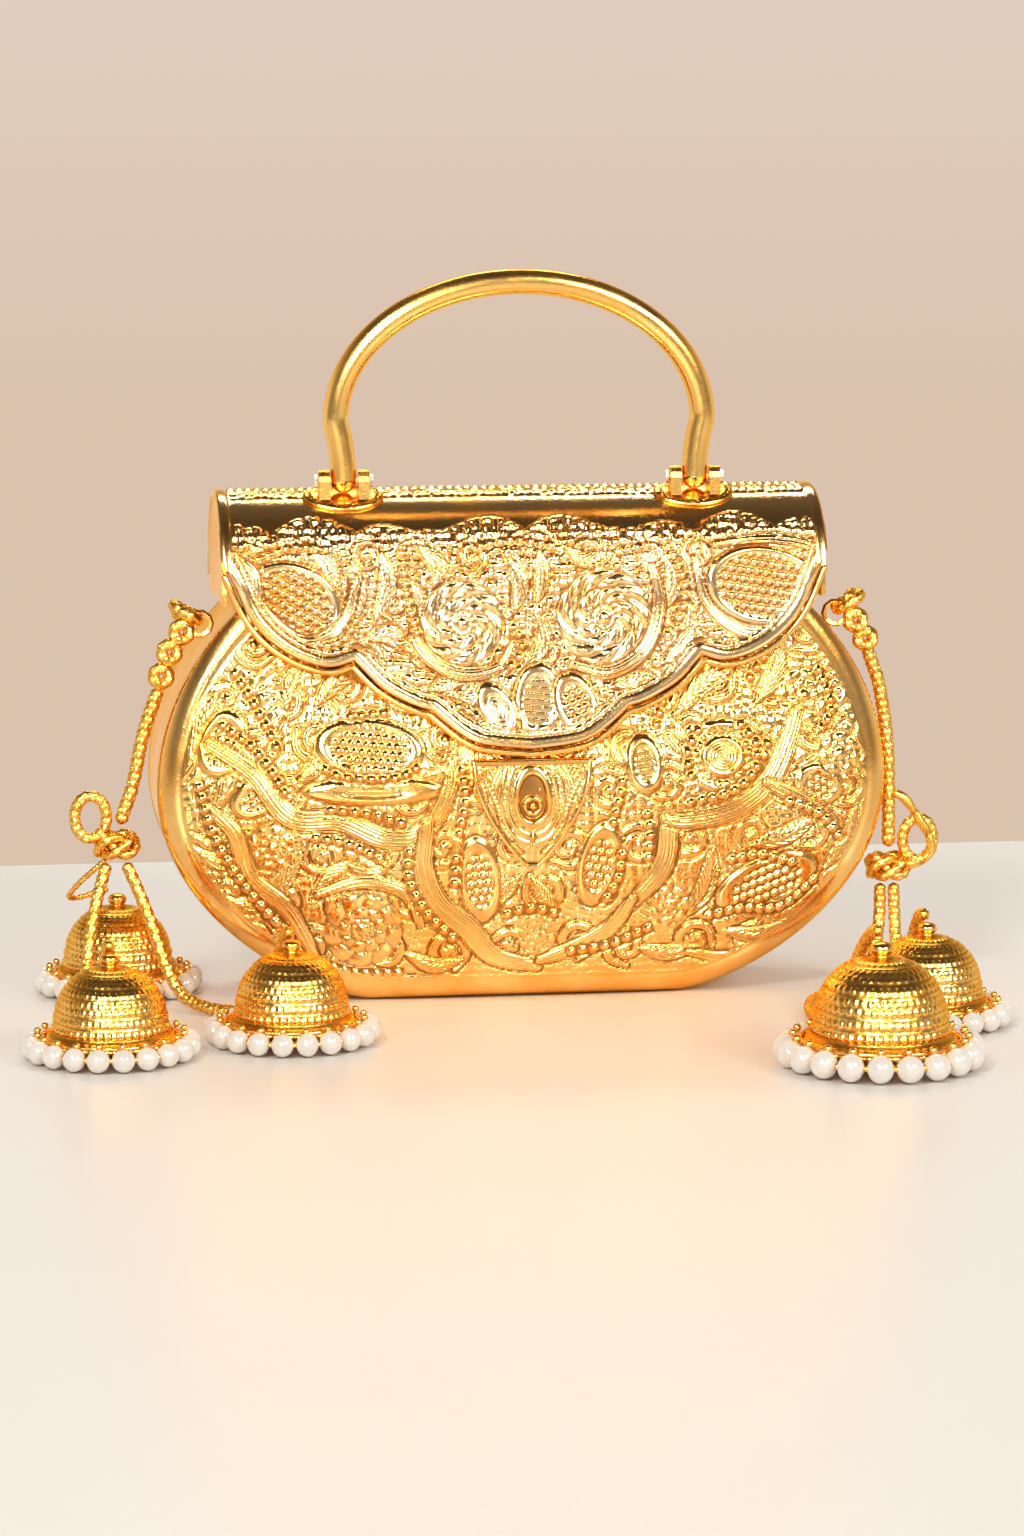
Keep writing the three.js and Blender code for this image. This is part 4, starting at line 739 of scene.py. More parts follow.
# %% Formulas of the case
SHEET = 1.2
CASE_HALF_WIDTH, FLAT_HALF_WIDTH, WIDEST_Z, MOUTH_Z, SIDE_CURVE = 100.0, 42.0, 58.0, 112.0, 78.0
BAND_DEPTH, BELLY_Z, BACK_CREST, BORDER, BORDER_RISE = 40.0, 55.0, 28.0, 7.0, 0.9
ROLL_RADIUS, FLAP_TIP_Z, FLAP_FLARE, GAP = 25.5, 70.0, 8.5, 0.3
FLAP_STANDOFF = 1.0 + 2 * GAP


def half_width(z):
    """Half width at a height: the flat plus a power of a quarter circle below the widest line, and a
    flattened circle above it."""
    drop = np.clip((WIDEST_Z - z) / WIDEST_Z, 0, 1)
    lower = FLAT_HALF_WIDTH + (CASE_HALF_WIDTH - FLAT_HALF_WIDTH) * (1 - drop ** 2) ** 0.68
    upper = CASE_HALF_WIDTH * np.sqrt(1 - (np.maximum(0, z - WIDEST_Z) / SIDE_CURVE) ** 2)
    return np.where(z < WIDEST_Z, lower, upper)


def flap_depth(z):
    """Depth of the flap's face: the roll's radius, plus a flare that grows with the 1.5th power of
    the drop."""
    return ROLL_RADIUS + FLAP_FLARE * np.maximum(0, (MOUTH_Z - z) / (MOUTH_Z - FLAP_TIP_Z)) ** 1.5


def rounded_under(crest, z):
    """Depth below the belly: it falls back to the band by a rounded power curve."""
    low = np.clip((BELLY_Z - z) / BELLY_Z, 0, 1)
    return BAND_DEPTH / 2 + (crest - BAND_DEPTH / 2) * (1 - low ** 2.4) ** 0.6


def front_crest(z):
    """Depth of the front plate on its middle line: behind the flap, out to the belly, round under."""
    slope = 1.5 * FLAP_FLARE / (MOUTH_Z - FLAP_TIP_Z)
    run = FLAP_TIP_Z - BELLY_Z
    down = np.clip(FLAP_TIP_Z - z, 0, run)
    belly = flap_depth(FLAP_TIP_Z) - SHEET - FLAP_STANDOFF + slope * down * (1 - down / (2 * run))
    behind = flap_depth(z) - SHEET - FLAP_STANDOFF
    return np.where(z > FLAP_TIP_Z, behind, np.where(z > BELLY_Z, belly, rounded_under(belly, z)))


def back_crest(z):
    """Depth of the back plate on its middle line: a plain belly that draws in towards the mouth."""
    mouth = front_crest(np.array(MOUTH_Z))
    upper = BACK_CREST - (BACK_CREST - mouth) * (np.maximum(0, z - BELLY_Z) / (MOUTH_Z - BELLY_Z)) ** 2
    return np.where(z < BELLY_Z, rounded_under(BACK_CREST, z), upper)


outline_z = np.concatenate([
    WIDEST_Z * (1 - np.cos(np.linspace(0, np.pi / 2, 220))),
    WIDEST_Z + SIDE_CURVE * np.sin(np.linspace(0, np.arcsin((MOUTH_Z - WIDEST_Z) / SIDE_CURVE), 120))[1:],
])
OUTLINE = np.stack([half_width(outline_z), outline_z], axis=-1)


def line_distance(x, z, line):
    """Distance of each point to a polyline, and the share of the line's length where it is nearest."""
    flat = np.stack([np.ravel(x), np.ravel(z)], axis=-1)
    best, where = np.full(len(flat), 1e9), np.zeros(len(flat))
    for k in range(len(line) - 1):
        start, run = line[k], line[k + 1] - line[k]
        share = np.clip(((flat - start) @ run) / max(run @ run, 1e-12), 0, 1)
        away = np.hypot(*(flat - start - share[:, None] * run).T)
        near = away < best
        best[near], where[near] = away[near], (k + share[near]) / (len(line) - 1)
    return best.reshape(np.shape(x)), where.reshape(np.shape(x))


def outline_distance(x, z):
    """Distance to the case's outline, or to its flat bottom where that is nearer."""
    side, _ = line_distance(np.abs(x), z, OUTLINE[::3])
    return np.where(np.abs(x) > FLAT_HALF_WIDTH, side, np.minimum(side, z))


def plate_depth(crest, x, z, border):
    """Depth of a plate: the band, plus the crest times a side fall of (1 - share cubed) to the 0.55,
    plus half a sine wave along the border."""
    share = np.clip(np.abs(x) / half_width(z), 0, 1)
    bulge = (crest(z) - BAND_DEPTH / 2) * (1 - share ** 3) ** 0.55
    return BAND_DEPTH / 2 + bulge + BORDER_RISE * np.sin(np.pi * np.clip(border / BORDER, 0, 1))


# %% [markdown]
# ## A closed sheet from two grids
# Sheet metal has a thickness that shows along its edges. A Solidify modifier would double every one
# of the fine faces. Instead the outer grid is fine, the inner one has only a few columns, and the
# top and bottom rims between them are single flat faces.

# %% Closed sheet
def closed_sheet(name, outer, inner, flip=False):
    """A solid sheet from an outer grid and an inner grid with as many rows but fewer columns."""
    rows, columns = outer.shape[:2]
    inner_columns = inner.shape[1]
    base = rows * columns
    faces = grid_faces(rows, columns, flip=flip).tolist()
    faces += grid_faces(rows, inner_columns, start=base, flip=not flip).tolist()
    j = np.arange(rows - 1)
    for out_column, in_column, turned in ((0, 0, True), (columns - 1, inner_columns - 1, False)):
        out_at, in_at = j * columns + out_column, base + j * inner_columns + in_column
        quads = np.stack([out_at, in_at, in_at + inner_columns, out_at + columns], axis=-1)
        faces += (quads[:, ::-1] if turned != flip else quads).tolist()
    for row, turned in ((0, False), (rows - 1, True)):
        rim = [row * columns + i for i in range(columns)][::-1]
        rim += [base + row * inner_columns + i for i in range(inner_columns)]
        faces.append(rim[::-1] if turned != flip else rim)
    return new_piece(name, np.vstack([outer.reshape(-1, 3), inner.reshape(-1, 3)]), faces)


def plate_rows(count):
    """Heights of the rows: closer together where the outline turns under."""
    length = np.concatenate([[0], np.cumsum(np.hypot(*np.diff(OUTLINE, axis=0).T))])
    measure = OUTLINE[:, 1] + 0.35 * length
    return np.interp(np.linspace(0, measure[-1], count), measure, OUTLINE[:, 1])


def plate_grids(crest, side, rows, columns, relief=None):
    """Outer and inner grids of a dished plate. The relief lifts the outer one along Y."""
    z = plate_rows(rows)[:, None]
    share = np.linspace(-1, 1, columns)[None, :]
    x, z_all = share * half_width(z), np.broadcast_to(z, (rows, columns))
    border = outline_distance(x, z_all)
    lift, trace, cut = relief(x, z_all, border) if relief else (np.zeros_like(x),) * 3
    outer = np.stack([x, side * (plate_depth(crest, x, z_all, border) + lift), z_all], axis=-1)
    few = np.array([-1, -0.97, -0.92, -0.8, -0.6, -0.3, 0, 0.3, 0.6, 0.8, 0.92, 0.97, 1])[None, :]
    xi, zi = few * half_width(z), np.broadcast_to(z, (rows, few.size))
    deep = np.maximum(BAND_DEPTH / 2, plate_depth(crest, xi, zi, outline_distance(xi, zi)) - SHEET)
    inner = np.stack([few * (half_width(z) - SHEET), side * deep,
                      SHEET + zi * (MOUTH_Z - SHEET) / MOUTH_Z], axis=-1)
    return outer, inner, (lift, trace, cut)


# %% Back plate and band
back_outer, back_inner, _ = plate_grids(back_crest, 1, 90, 121)
back_plate = closed_sheet("back_panel", back_outer, back_inner, flip=True)
finish_piece(back_plate, SMOOTH, "case", ["back_plate"])


def band_strip(name):
    """The band round the sides and the bottom: the outline carried from front to back, with a shallow
    hollow of 0.25 mm in its middle and edges that are rounded off, closed by an inner strip."""
    right = OUTLINE[::3]
    line = np.vstack([right[::-1] * [-1, 1], np.array([[t, 0] for t in np.linspace(-38, 38, 12)]), right])
    ahead = np.gradient(line, axis=0)
    ahead /= np.linalg.norm(ahead, axis=1, keepdims=True)
    out = np.stack([ahead[:, 1], -ahead[:, 0]], axis=-1)
    half = BAND_DEPTH / 2 - GAP
    across = np.array([-1, -0.985, -0.95, -0.9, -0.6, -0.2, 0.2, 0.6, 0.9, 0.95, 0.985, 1])
    sink = np.where(line[:, 1:] < 0.01, 0.0, 0.25) * (np.abs(across) < 0.93)[None, :]
    sink = sink + 0.35 * (np.abs(across) == 1)[None, :]
    inset = np.concatenate([sink, np.full((len(line), len(across)), SHEET)], axis=1)
    depth = np.concatenate([across, across[::-1]]) * half
    flat = line[:, None, :] - inset[..., None] * out[:, None, :]
    surface = np.stack([flat[..., 0], np.broadcast_to(depth, inset.shape), flat[..., 1]], axis=-1)
    return ring_piece(name, surface)


band = finish_piece(band_strip("side_band"), SMOOTH, "case", ["gusset_band"])
print("back panel", len(back_plate.data.polygons), "band", len(band.data.polygons))

# %% [markdown]
# ## Chasing tools
# The flowers on the front are chased: a smith pushes the sheet up from behind and then cuts lines and
# strikes small beads from the front. Each tool below does one such job on a height field: stems,
# leaves, ovals, petals, pebbled ground. A picture could drive the height, but shapes in code stay
# sharp at any size and are this script's own drawing.

# %% Height tools
class Chasing:
    """A height field over a flat drawing. x and z are the grid's drawing coordinates in millimetres."""

    def __init__(self, x, z, ground, ground_height, seed, base=0.0):
        self.x, self.z = x, z
        self.height = base + ground_height * pebbles(x, z, ground, seed)
        self.trace, self.cut = np.zeros(x.shape), np.zeros(x.shape)

    def put(self, near, height, trace=None):
        """Where near is true, the height takes the place of what was there. The trace is what the fine
        engraved lines follow; without one the metal there is left uncut."""
        self.height = np.where(near, height, self.height)
        self.cut = np.where(near, 0.0 if trace is None else 1.0, self.cut)
        self.trace = np.where(near, 0.0 if trace is None else trace, self.trace)

    def line(self, points, reach, step=1.2):
        """The part of the grid near a smooth line: a mask, the distance, and the share along it."""
        path = curve_through([(a, 0, b) for a, b in points], step)[0][:, [0, 2]]
        low, high = path.min(axis=0) - reach - 1, path.max(axis=0) + reach + 1
        box = (self.x > low[0]) & (self.x < high[0]) & (self.z > low[1]) & (self.z < high[1])
        away, share = np.full(self.x.shape, 1e3), np.zeros(self.x.shape)
        away[box], share[box] = line_distance(self.x[box], self.z[box], path)
        return away, share

    def stem(self, points, width=2.2, height=0.6, lines=0.1):
        """A low flat-topped stem, thinner at its ends, with lines cut along it."""
        away, share = self.line(points, width + 2)
        reach = width * (0.35 + 0.65 * np.sin(np.pi * np.clip(share, 0.02, 0.98)) ** 0.6)
        cut = 1 - lines * (0.5 + 0.5 * np.cos(2 * np.pi * away / 0.85))
        self.put(away < reach + 0.7, height * round_cap(away / reach) ** 0.35 * cut, away)

    def leaf(self, points, width, height=0.85, veins=0.22, rim=0.35):
        """A leaf along a line: its half width is a sine of the share. It has a raised rim, a midrib and
        slanted veins."""
        away, share = self.line(points, width + 2)
        reach = np.maximum(0.3, width * np.sin(np.pi * np.clip(share, 0.01, 0.99)) ** 0.7)
        inside = np.clip(1 - (away / reach) ** 2, 0, 1)
        body = height * (0.45 + 0.55 * inside ** 0.5)
        body += rim * np.exp(-((away - reach + 0.6) / 0.38) ** 2)
        body += 0.3 * np.exp(-(away / 0.45) ** 2)
        vein = 0.5 + 0.5 * np.cos(2 * np.pi * (share * len(points) * 5 - away / 2.4))
        body -= veins * vein * (away > 0.6)
        self.put(away < reach, body, away - 2.5 * share * len(points))
        self.put((away >= reach) & (away < reach + 0.6) & (share > 0.02) & (share < 0.98), 0.0)

    def oval(self, x, z, rx, rz, tilt=0.0, fill="beads", rim=1.1, height=0.9, pitch=2.1):
        """An oval with a raised rim. Inside are beads in rows, lines side by side, or smooth metal."""
        a = (self.x - x) * np.cos(tilt) + (self.z - z) * np.sin(tilt)
        b = (self.z - z) * np.cos(tilt) - (self.x - x) * np.sin(tilt)
        round_share = np.hypot(a / rx, b / rz)
        edge = (round_share - 1) * min(rx, rz)
        inside = {
            "beads": 1.05 * bead_lattice(a / pitch, b / pitch, 0.44),
            "lines": 0.45 + 0.2 * np.cos(2 * np.pi * b / (0.8 * pitch)),
            "smooth": 0.5 * round_cap(round_share) + 0.2,
        }[fill]
        self.put(edge < -rim, inside, edge if fill == "smooth" else None)
        self.put((edge >= -rim) & (edge < rim), height * round_cap(edge / rim) + 0.05)
        self.put((edge >= rim) & (edge < rim + 0.5), 0.0)

    def flower(self, x, z, radius, petals, start=0.0, turn=0.5, height=0.9):
        """Two rings of petals that lean round the middle, each petal the upper half of a cosine, and a
        bead in the middle with a ring of small beads round it."""
        away = np.hypot(self.x - x, self.z - z)
        angle = np.arctan2(self.z - z, self.x - x) - start + turn * away / radius
        share = away / radius
        outer = np.abs(np.cos(petals * angle / 2)) ** 0.7 * np.clip((1 - share) / 0.12, 0, 1)
        inner = np.abs(np.sin(petals * angle / 2)) ** 0.7
        ring = 0.5 + 0.5 * np.cos(2 * np.pi * (away / 1.5))
        petal = height * outer * (0.75 + 0.25 * ring)
        petal = np.where(share < 0.62, height * 0.9 * inner * np.clip((0.62 - share) / 0.1, 0, 1), petal)
        dots = round(2 * np.pi * 0.3 * radius / 1.7)
        ring_bead = bead_lattice(angle * dots / (2 * np.pi), share * radius / 1.7, 0.46)
        petal = np.where(share < 0.36, 0.8 * ring_bead, petal)
        petal = np.where(away < 1.9, 1.1 * round_cap(away / 1.8), petal)
        self.put(away < radius, petal)

    def bead_row(self, points, radius=1.25, gap=0.55, height=1.25):
        """Beads one after another along a smooth line."""
        away, share = self.line(points, radius + 1)
        length = curve_through([(a, 0, b) for a, b in points], 1.0)[1]
        count = max(2, round(length / (2 * radius + gap)))
        along = (share * count % 1.0 - 0.5) * length / count
        dome = round_cap(np.hypot(away, along) / radius)
        self.put((away < radius + 0.5) & (share > 0) & (share < 1), height * dome)

    def curl(self, x, z, size, start, hand, width=0.85):
        """A small scroll: a spiral r = size * (1 - 0.75 t) that turns 500 degrees, with a bead in its eye."""
        t = np.linspace(0, 1, 9)
        r, angle = size * (1 - 0.75 * t), start + hand * np.radians(500) * t
        self.stem(list(zip(x + r * np.cos(angle), z + r * np.sin(angle))), width, 0.9)
        away = np.hypot(self.x - x, self.z - z)
        self.put(away < 1.3, 1.2 * round_cap(away / 1.25))

    def curl_field(self, rows, columns, pitch, low, size, seeds, width=0.85):
        """Small scrolls in staggered rows 14 mm apart. Repeatable numbers move each one and turn it."""
        for row in range(rows):
            for column in range(columns):
                a, b = pitch * (column - (columns - 1) / 2 + 0.5 * (row % 2)), low + 14.0 * row
                right, up, start = [float(scatter(a, b, seed)) for seed in seeds]
                self.curl(a + 4 * right, b + 4 * up, size, 6.28 * start, (-1) ** (row + column), width)

    def wire(self, distance, half, height):
        """A round wire where a distance is near zero: the upper half of a circle, as wide as given."""
        self.put(np.abs(distance) < half, height * round_cap(distance / half))

    def bands(self, distance, lines):
        """Beads or plain wires that follow an edge: (distance from it, half width, height, and the
        square of the place along a bead, or 0 for a plain wire)."""
        for middle, half, height, along in lines:
            across = (distance - middle) / half
            self.put(np.abs(across) < 1.15, height * np.sqrt(np.maximum(0, 1 - across ** 2 - along)))


def scatter(a, b, seed):
    """A repeatable number from 0 to 1 for each pair of whole numbers: the fraction of a large sine."""
    return np.abs(np.sin(a * 127.1 + b * 311.7 + seed * 74.7) * 43758.5453) % 1.0


def pebbles(x, z, size, seed):
    """Pebbled ground: every cell of a jittered grid holds one round bead, cut off where it meets the
    next."""
    cx, cz = np.floor(x / size), np.floor(z / size)
    first, second = np.full(x.shape, 9.0), np.full(x.shape, 9.0)
    for i in (-1, 0, 1):
        for k in (-1, 0, 1):
            px = cx + i + 0.5 + 0.5 * (scatter(cx + i, cz + k, seed) - 0.5)
            pz = cz + k + 0.5 + 0.5 * (scatter(cx + i, cz + k, seed + 5) - 0.5)
            away = np.hypot(x / size - px, z / size - pz)
            second = np.where(away < first, first, np.minimum(second, away))
            first = np.minimum(first, away)
    bead = np.sqrt(np.clip(1 - (first / 0.62) ** 2, 0, 1))
    return bead * np.clip((second - first) * 5.0, 0, 1) ** 0.5


# %% [markdown]
# ## The front's flowers
# Long smooth stems sweep in from both sides to the shield, and pods of beads and dished flowers sit
# between them. Small scrolls on low pebbles fill what is left. The pattern is the traditional leaf
# and flower scroll of this kind of metalwork: the large motifs stand where the photograph shows them,
# and the filling is this script's own.

# %% Front relief
SMOOTH_BORDER = 6.2


def front_relief(x, z, border):
    """The front plate's height above its plain surface, faded out into the smooth rolled border."""
    art = Chasing(x, z, 2.4, 0.45, 3, base=0.22)
    art.curl_field(7, 12, 17.0, 14.0, 6.0, (1, 2, 3), 1.25)
    for points, width in [
        ([(-95, 60), (-90, 72), (-84, 86)], 2.6), ([(-88, 50), (-82, 62), (-79, 78), (-72, 92)], 2.8),
        ([(-70, 74), (-66, 86), (-60, 96)], 2.6), ([(-58, 82), (-50, 90), (-40, 94)], 2.8),
        ([(-36, 84), (-28, 90), (-16, 92)], 2.4), ([(-92, 44), (-84, 40), (-76, 44), (-70, 52)], 2.6),
        ([(-84, 30), (-76, 28), (-68, 34), (-62, 44)], 2.8), ([(-72, 18), (-64, 16), (-58, 22)], 2.4),
        ([(-46, 40), (-54, 36), (-60, 28)], 2.6), ([(-38, 40), (-44, 36), (-50, 40)], 2.0),
        ([(-34, 14), (-26, 10), (-18, 12)], 2.2), ([(-12, 26), (-6, 32), (-3, 36)], 2.0),
        ([(8, 24), (3, 30), (0, 35)], 2.0), ([(30, 14), (38, 12), (48, 14)], 2.4),
        ([(42, 22), (48, 30), (50, 42)], 2.8), ([(54, 18), (64, 16), (74, 20)], 2.4),
        ([(82, 34), (88, 42), (91, 52)], 2.4), ([(60, 42), (70, 44), (80, 50)], 2.6),
        ([(72, 60), (80, 64), (92, 62)], 2.6), ([(70, 78), (78, 74), (88, 76)], 2.4),
        ([(62, 80), (68, 88), (70, 98)], 2.6), ([(40, 78), (48, 86), (58, 92)], 2.8),
        ([(20, 82), (28, 90), (40, 96)], 2.6), ([(24, 54), (28, 60), (27, 72)], 2.2),
        ([(-12, 60), (-17, 66), (-17, 76)], 2.2), ([(-64, 62), (-58, 66), (-56, 74)], 2.2),
    ]:
        art.leaf(points, width)
    for x_mid, z_mid, rx, rz, tilt, options in [
        (-43.6, 70.6, 12.5, 6.8, -0.1, {}), (-42.6, 59.3, 13, 2.6, 0.0, dict(fill="lines", pitch=2.0)),
        (-74, 58, 6, 4, 0.6, {}), (52.7, 66.5, 9.6, 8.6, 0.0, {}),
        (52.7, 66.5, 5.2, 4.6, 0.0, dict(fill="smooth", rim=0.8)),
        (31, 65, 3.8, 6.2, 0.15, dict(fill="lines")),
        (-14.2, 34.5, 4.6, 9.6, 0.12, dict(pitch=2.3)), (18.4, 38, 4.6, 9.4, -0.2, dict(pitch=2.3)),
        (65.5, 31, 12.5, 6.2, 0.35, dict(pitch=2.4)), (80, 58, 5.6, 4.2, -0.4, {}), (83, 84, 7, 5.2, 0.9, {}),
        (-83, 72, 5, 7.5, -0.35, {}),
    ]:
        art.oval(x_mid, z_mid, rx, rz, tilt, **options)
    for flower in [(-45.6, 21, 10.8, 9, 0.2), (76, 82, 7.6, 7, 0.7), (86, 66, 6.0, 7, 0.1),
                   (-72, 84, 6.6, 7, 0.4), (38.5, 26, 5.6, 7, 0.5), (-70, 44, 6.4, 8, 0.9),
                   (2, 17.5, 5.2, 7, 0.3)]:
        art.flower(*flower)
    for points, width in [
        ([(-86, 72), (-75, 64.5), (-65, 52.4), (-51.7, 51.4), (-39.6, 46.3), (-30.4, 47.3), (-22.3, 59.5),
          (-21.3, 67)], 2.9),
        ([(-28.4, 50), (-29.4, 38), (-25.4, 28), (-17.3, 21), (-10, 12.8), (2, 9)], 3.2),
        ([(27.4, 26), (36.5, 38), (37.5, 53.4)], 2.8),
        ([(36.5, 50), (42.6, 49.3), (56.8, 52.4), (65.9, 59.5), (72, 72), (74, 78)], 3.0),
        ([(3, 10.8), (14, 15), (22, 20), (28, 28)], 2.4), ([(65, 59), (76, 53), (86, 46)], 2.2),
        ([(-88, 56), (-80, 48), (-76, 36), (-66, 27), (-58, 13)], 2.4),
        ([(-58, 31), (-46, 34.5), (-34, 31), (-30, 22)], 1.8), ([(44, 12), (54, 10), (66, 13)], 1.6),
        ([(-46, 8.5), (-34, 6), (-20, 5)], 1.6),
    ]:
        art.stem(points, width)
    for points in ([(-56, 54.5), (-44, 53), (-34, 50)], [(-33, 44), (-33.5, 36), (-29, 26), (-20, 17)],
                   [(42, 54), (56, 57.5), (62, 63), (66, 71)], [(32, 38), (32.5, 46), (31.5, 53)],
                   [(-84, 78), (-74, 70), (-66, 58)], [(-60, 12), (-46, 8), (-34, 8)],
                   [(-90, 62), (-86, 48), (-78, 34), (-68, 22)],
                   [(-57, 66), (-52, 63.5), (-36, 63), (-30, 66)],
                   [(-60, 47), (-50, 45), (-40, 40)], [(-20, 46), (-18, 56), (-19, 66)],
                   [(-20.5, 42), (-21, 32)],
                   [(22, 48), (24, 56), (25, 62)], [(25, 42), (24, 34), (20, 27)],
                   [(-8, 24), (0, 26), (8, 24)], [(44, 60), (43, 68), (47, 75)],
                   [(62, 62), (62, 70), (57, 76)], [(70, 54), (80, 50), (87, 42)],
                   [(48, 22), (58, 24), (70, 24), (80, 32)], [(54, 38), (64, 39), (74, 36)],
                   [(80, 72), (84, 78), (80, 90)], [(-80, 92), (-74, 82), (-68, 70)], [(-38, 80), (-50, 79)],
                   [(10, 13), (22, 15), (34, 20)], [(60, 86), (66, 94)], [(34, 74), (38, 84), (46, 92)]):
        art.bead_row(points)
    fade = np.clip((border - SMOOTH_BORDER) / 1.2, 0, 1)
    rim_line = 0.35 * np.exp(-((border - 6.6) / 0.5) ** 2)
    return art.height * fade + rim_line, art.trace, art.cut * fade


front_outer, front_inner, (front_height, front_trace, front_cut) = plate_grids(
    front_crest, -1, 232, 401, front_relief)
front_plate = closed_sheet("chased_front", front_outer, front_inner)
smooth_border = outline_distance(front_outer[..., 0], front_outer[..., 2]) < SMOOTH_BORDER


def store_chasing(piece, height, trace, cut):
    """Stores the height, the engraving trace and its mask on a closed sheet; its inner side is plain."""
    rest = len(piece.data.vertices) - height.size
    for name, values, plain in (("relief", height, 1.0), ("trace", trace, 0.0), ("cut", cut, 0.0)):
        set_attribute(piece, name, np.concatenate([np.ravel(values), np.full(rest, plain)]))


store_chasing(front_plate, front_height + smooth_border, front_trace, front_cut)
finish_piece(front_plate, EMBOSSED, "case", ["front_plate"])
print("front faces", len(front_plate.data.polygons), "relief up to", round(float(front_height.max()), 2))

# %% [markdown]
# ## The lid
# The lid is a half roll over the mouth, with a flap in front that ends in a scalloped edge. Every
# column of the grid starts at the back edge, goes over the roll and runs down to its own point of the
# scallop, so the edge is exact and the pattern can follow it. The scallop's rim is rolled, with a row
# of beads inside it.

# %% Lid formulas
LID_HALF_WIDTH = float(half_width(np.array(MOUTH_Z))) + 10.44
FLAP_LOBES = [
    [(1, 1), (0.956, 0.846), (0.923, 0.723), (0.877, 0.615), (0.806, 0.519), (0.726, 0.456),
     (0.648, 0.431), (0.574, 0.462)],
    [(0.574, 0.462), (0.504, 0.346), (0.446, 0.283), (0.373, 0.227), (0.327, 0.208)],
    [(0.327, 0.208), (0.232, 0.083), (0.151, 0.027), (0, 0)],
]
LOBE_RISE = MOUTH_Z + 10 - FLAP_TIP_Z


def uniform_curve(points, steps):
    """Catmull-Rom curve with even parameters, as a two-dimensional spline through the points."""
    p = np.asarray(points, dtype=float)
    q = np.vstack([p[:1], p, p[-1:]])
    pieces = []
    for k in range(1, len(q) - 2):
        t = np.linspace(0, 1, steps, endpoint=False)[:, None]
        a, b, c, d = q[k - 1], q[k], q[k + 1], q[k + 2]
        pieces.append(0.5 * (2 * b + (c - a) * t + (2 * a - 5 * b + 4 * c - d) * t ** 2
                             + (3 * b - a - 3 * c + d) * t ** 3))
    return np.vstack(pieces + [p[-1:]])


EDGE = np.vstack([uniform_curve(lobe, 3) * [LID_HALF_WIDTH, LOBE_RISE] + [0, FLAP_TIP_Z]
                  for lobe in FLAP_LOBES])[::-1]


def edge_height(x):
    """Height of the scalloped edge at a distance from the middle."""
    return np.interp(np.abs(x), EDGE[:, 0], EDGE[:, 1])


COMMON_TURN = np.radians(150)


def lid_grid(x, inset, roll_rows, flap_rows):
    """Points of the lid: a half circle up to the common turn, then the rest of the way to the edge in
    even steps, on the roll above the mouth and on the flared flap below it. Also gives each point's
    height in the drawing, which is measured along the metal above the mouth."""
    radius = ROLL_RADIUS - inset
    x = np.broadcast_to(x[None, :], (roll_rows + flap_rows + 1, len(x)))
    roll = np.linspace(0, COMMON_TURN, roll_rows + 1)[:, None]
    edge = edge_height(x[0])
    left = ROLL_RADIUS * (np.pi - np.arcsin(np.maximum(0, edge - MOUTH_Z) / ROLL_RADIUS) - COMMON_TURN)
    total = left + np.maximum(0, MOUTH_Z - edge)
    travel = total[None, :] * (np.arange(1, flap_rows + 1) / flap_rows)[:, None]
    turn = np.vstack([np.broadcast_to(roll, (roll_rows + 1, x.shape[1])),
                      COMMON_TURN + np.minimum(travel, left) / ROLL_RADIUS])
    drop = np.vstack([np.zeros((roll_rows + 1, x.shape[1])), np.maximum(0, travel - left)])
    on_roll = drop <= 0
    z = np.where(on_roll, MOUTH_Z + radius * np.sin(turn), MOUTH_Z - drop)
    y = np.where(on_roll, radius * np.cos(turn), inset - flap_depth(MOUTH_Z - drop))
    drawn = np.where(on_roll, MOUTH_Z + ROLL_RADIUS * (np.pi - turn), MOUTH_Z - drop)
    out = np.stack([0 * x, np.where(on_roll, np.cos(turn), -1.0), np.where(on_roll, np.sin(turn), 0.0)],
                   axis=-1)
    return np.stack([x, y, z], axis=-1), drawn, out


# %% Lid relief
DRAWING_TOP_Z, STRIP_Z, BEAD_ROW_Z, BACK_Z = 128.5, (143, 151), (151.5, 153.9), 156
SIDE_RIM, SIDE_RIM_MIDDLE, SIDE_RIM_Z = 3.4, 1.7, 118
EDGE_BEADS = 118.0


